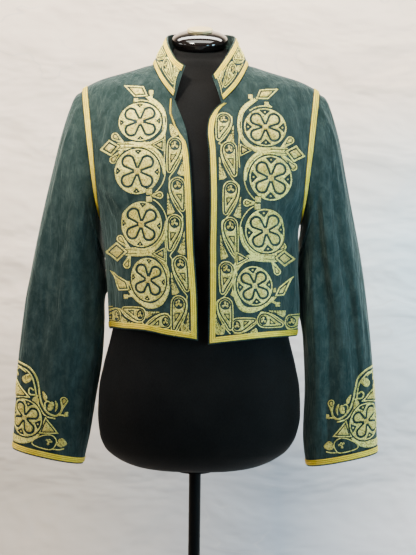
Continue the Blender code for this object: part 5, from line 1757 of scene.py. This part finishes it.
# name, place, aim, size, watts, spread in degrees, colour
LIGHTS = (
    ("warm_key", (-0.7, -1.2, 2.6), (-0.08, -0.05, 1.46), (0.4, 0.3), 1.35, 20, (1.0, 0.95, 0.82)),
    ("cool_front", (1.2, -1.8, 1.2), (0.27, 0, 1.14), (0.4, 0.4), 0.95, 26, (0.42, 0.78, 1.0)),
    ("left_sleeve", (-2.0, -1.1, 1.7), (-0.47, 0, 1.22), (0.4, 0.4), 0.55, 22, (0.97, 0.97, 0.97)),
    ("warm_fill", (-2.3, -0.35, 1.6), (-0.1, 0, 1.2), (0.6, 0.9), 20, 180, (0.97, 0.97, 0.95)),
    ("cool_side", (1.9, -1.35, 1.5), (0.05, 0, 1.1), (0.4, 0.9), 31, 180, (0.46, 0.8, 1.0)),
    ("soft_top", (0, -0.42, 2.35), (0, -0.1, 1.4), (1.1, 0.5), 17, 180, (1.0, 0.97, 0.9)),
    ("wall_right", (2.3, 0.7, 1.5), (0.9, 1.6, 1.2), (0.8, 1.2), 42, 180, (0.68, 0.88, 1.0)),
    ("wall_left", (-2.3, 0.7, 1.6), (-0.9, 1.6, 1.3), (0.8, 1.2), 18, 180, (1.0, 0.9, 0.76)),
    ("wall_wash", (0, 0.45, 3.1), (0, 1.6, 1.2), (3.0, 0.6), 140, 180, (1.0, 0.94, 0.85)),
)


def make_stage():
    """A pale floor that sweeps up into a wall behind the form."""
    turn = np.linspace(0, math.pi / 2, 16)
    arc = WALL_Y - WALL_BEND * (1 - np.sin(turn)), WALL_BEND * (1 - np.cos(turn))
    profile = np.concatenate([[(FLOOR_FRONT, 0)], np.stack(arc, axis=-1), [(WALL_Y, WALL_TOP)]])
    across = np.linspace(-WALL_HALF, WALL_HALF, 9)
    points = np.array([[(x, y, z - FLOOR_DROP) for x in across] for y, z in profile])
    points = points.reshape(-1, 3)
    up = np.tile([0.0, -0.7, 0.7], (len(points), 1))
    faces = faced(points, grid_faces(len(profile), len(across)), up)
    make_mesh("studio_sweep", points, [faces], wall_finish(), None)


def make_light():
    for name, place, aim, size, watts, spread, colour in LIGHTS:
        data = bpy.data.lights.new(name, "AREA")
        data.shape = "RECTANGLE"
        data.size, data.size_y = size
        data.energy = watts
        data.spread = math.radians(spread)
        data.color = colour
        lamp = bpy.data.objects.new(name, data)
        lamp.location = place
        x, y, z = np.subtract(aim, place)
        lamp.rotation_euler = (math.atan2(math.hypot(x, y), -z), 0, math.atan2(y, x) - math.pi / 2)
        bpy.context.scene.collection.objects.link(lamp)
    world = bpy.data.worlds.new("soft_room")
    world.use_nodes = True
    glow = world.node_tree.nodes["Background"]
    glow.inputs[0].default_value = (0.9, 0.93, 1.0, 1)
    glow.inputs[1].default_value = ROOM_GLOW
    bpy.context.scene.world = world


def make_camera():
    data = bpy.data.cameras.new("photo_view")
    data.sensor_width = SENSOR
    data.lens = SENSOR / 2 / math.tan(math.radians(VIEW_ANGLE / 2))
    camera = bpy.data.objects.new("photo_view", data)
    camera.location = (VIEW_X, -VIEW_AWAY, VIEW_HEIGHT)
    camera.rotation_euler = (math.pi / 2, -math.radians(VIEW_ROLL), 0)
    bpy.context.scene.collection.objects.link(camera)
    bpy.context.scene.camera = camera


CLOTH_FINISH = cloth_finish()
BRAID_FINISH = braid_finish()
GOLD_FINISH = gold_finish()
make_camera()
make_stage()
make_light()
make_fronts()
make_back()
make_armhole_braids()
make_collar()
make_sleeves()
make_form()
make_embroidery()
make_cap()
for name in ("cap_plate", "form_flange", "pole", "base"):
    finish = brass_finish() if name == "cap_plate" else stand_finish()
    for place in frame["nodes"][name].material_slots:
        place.material = finish
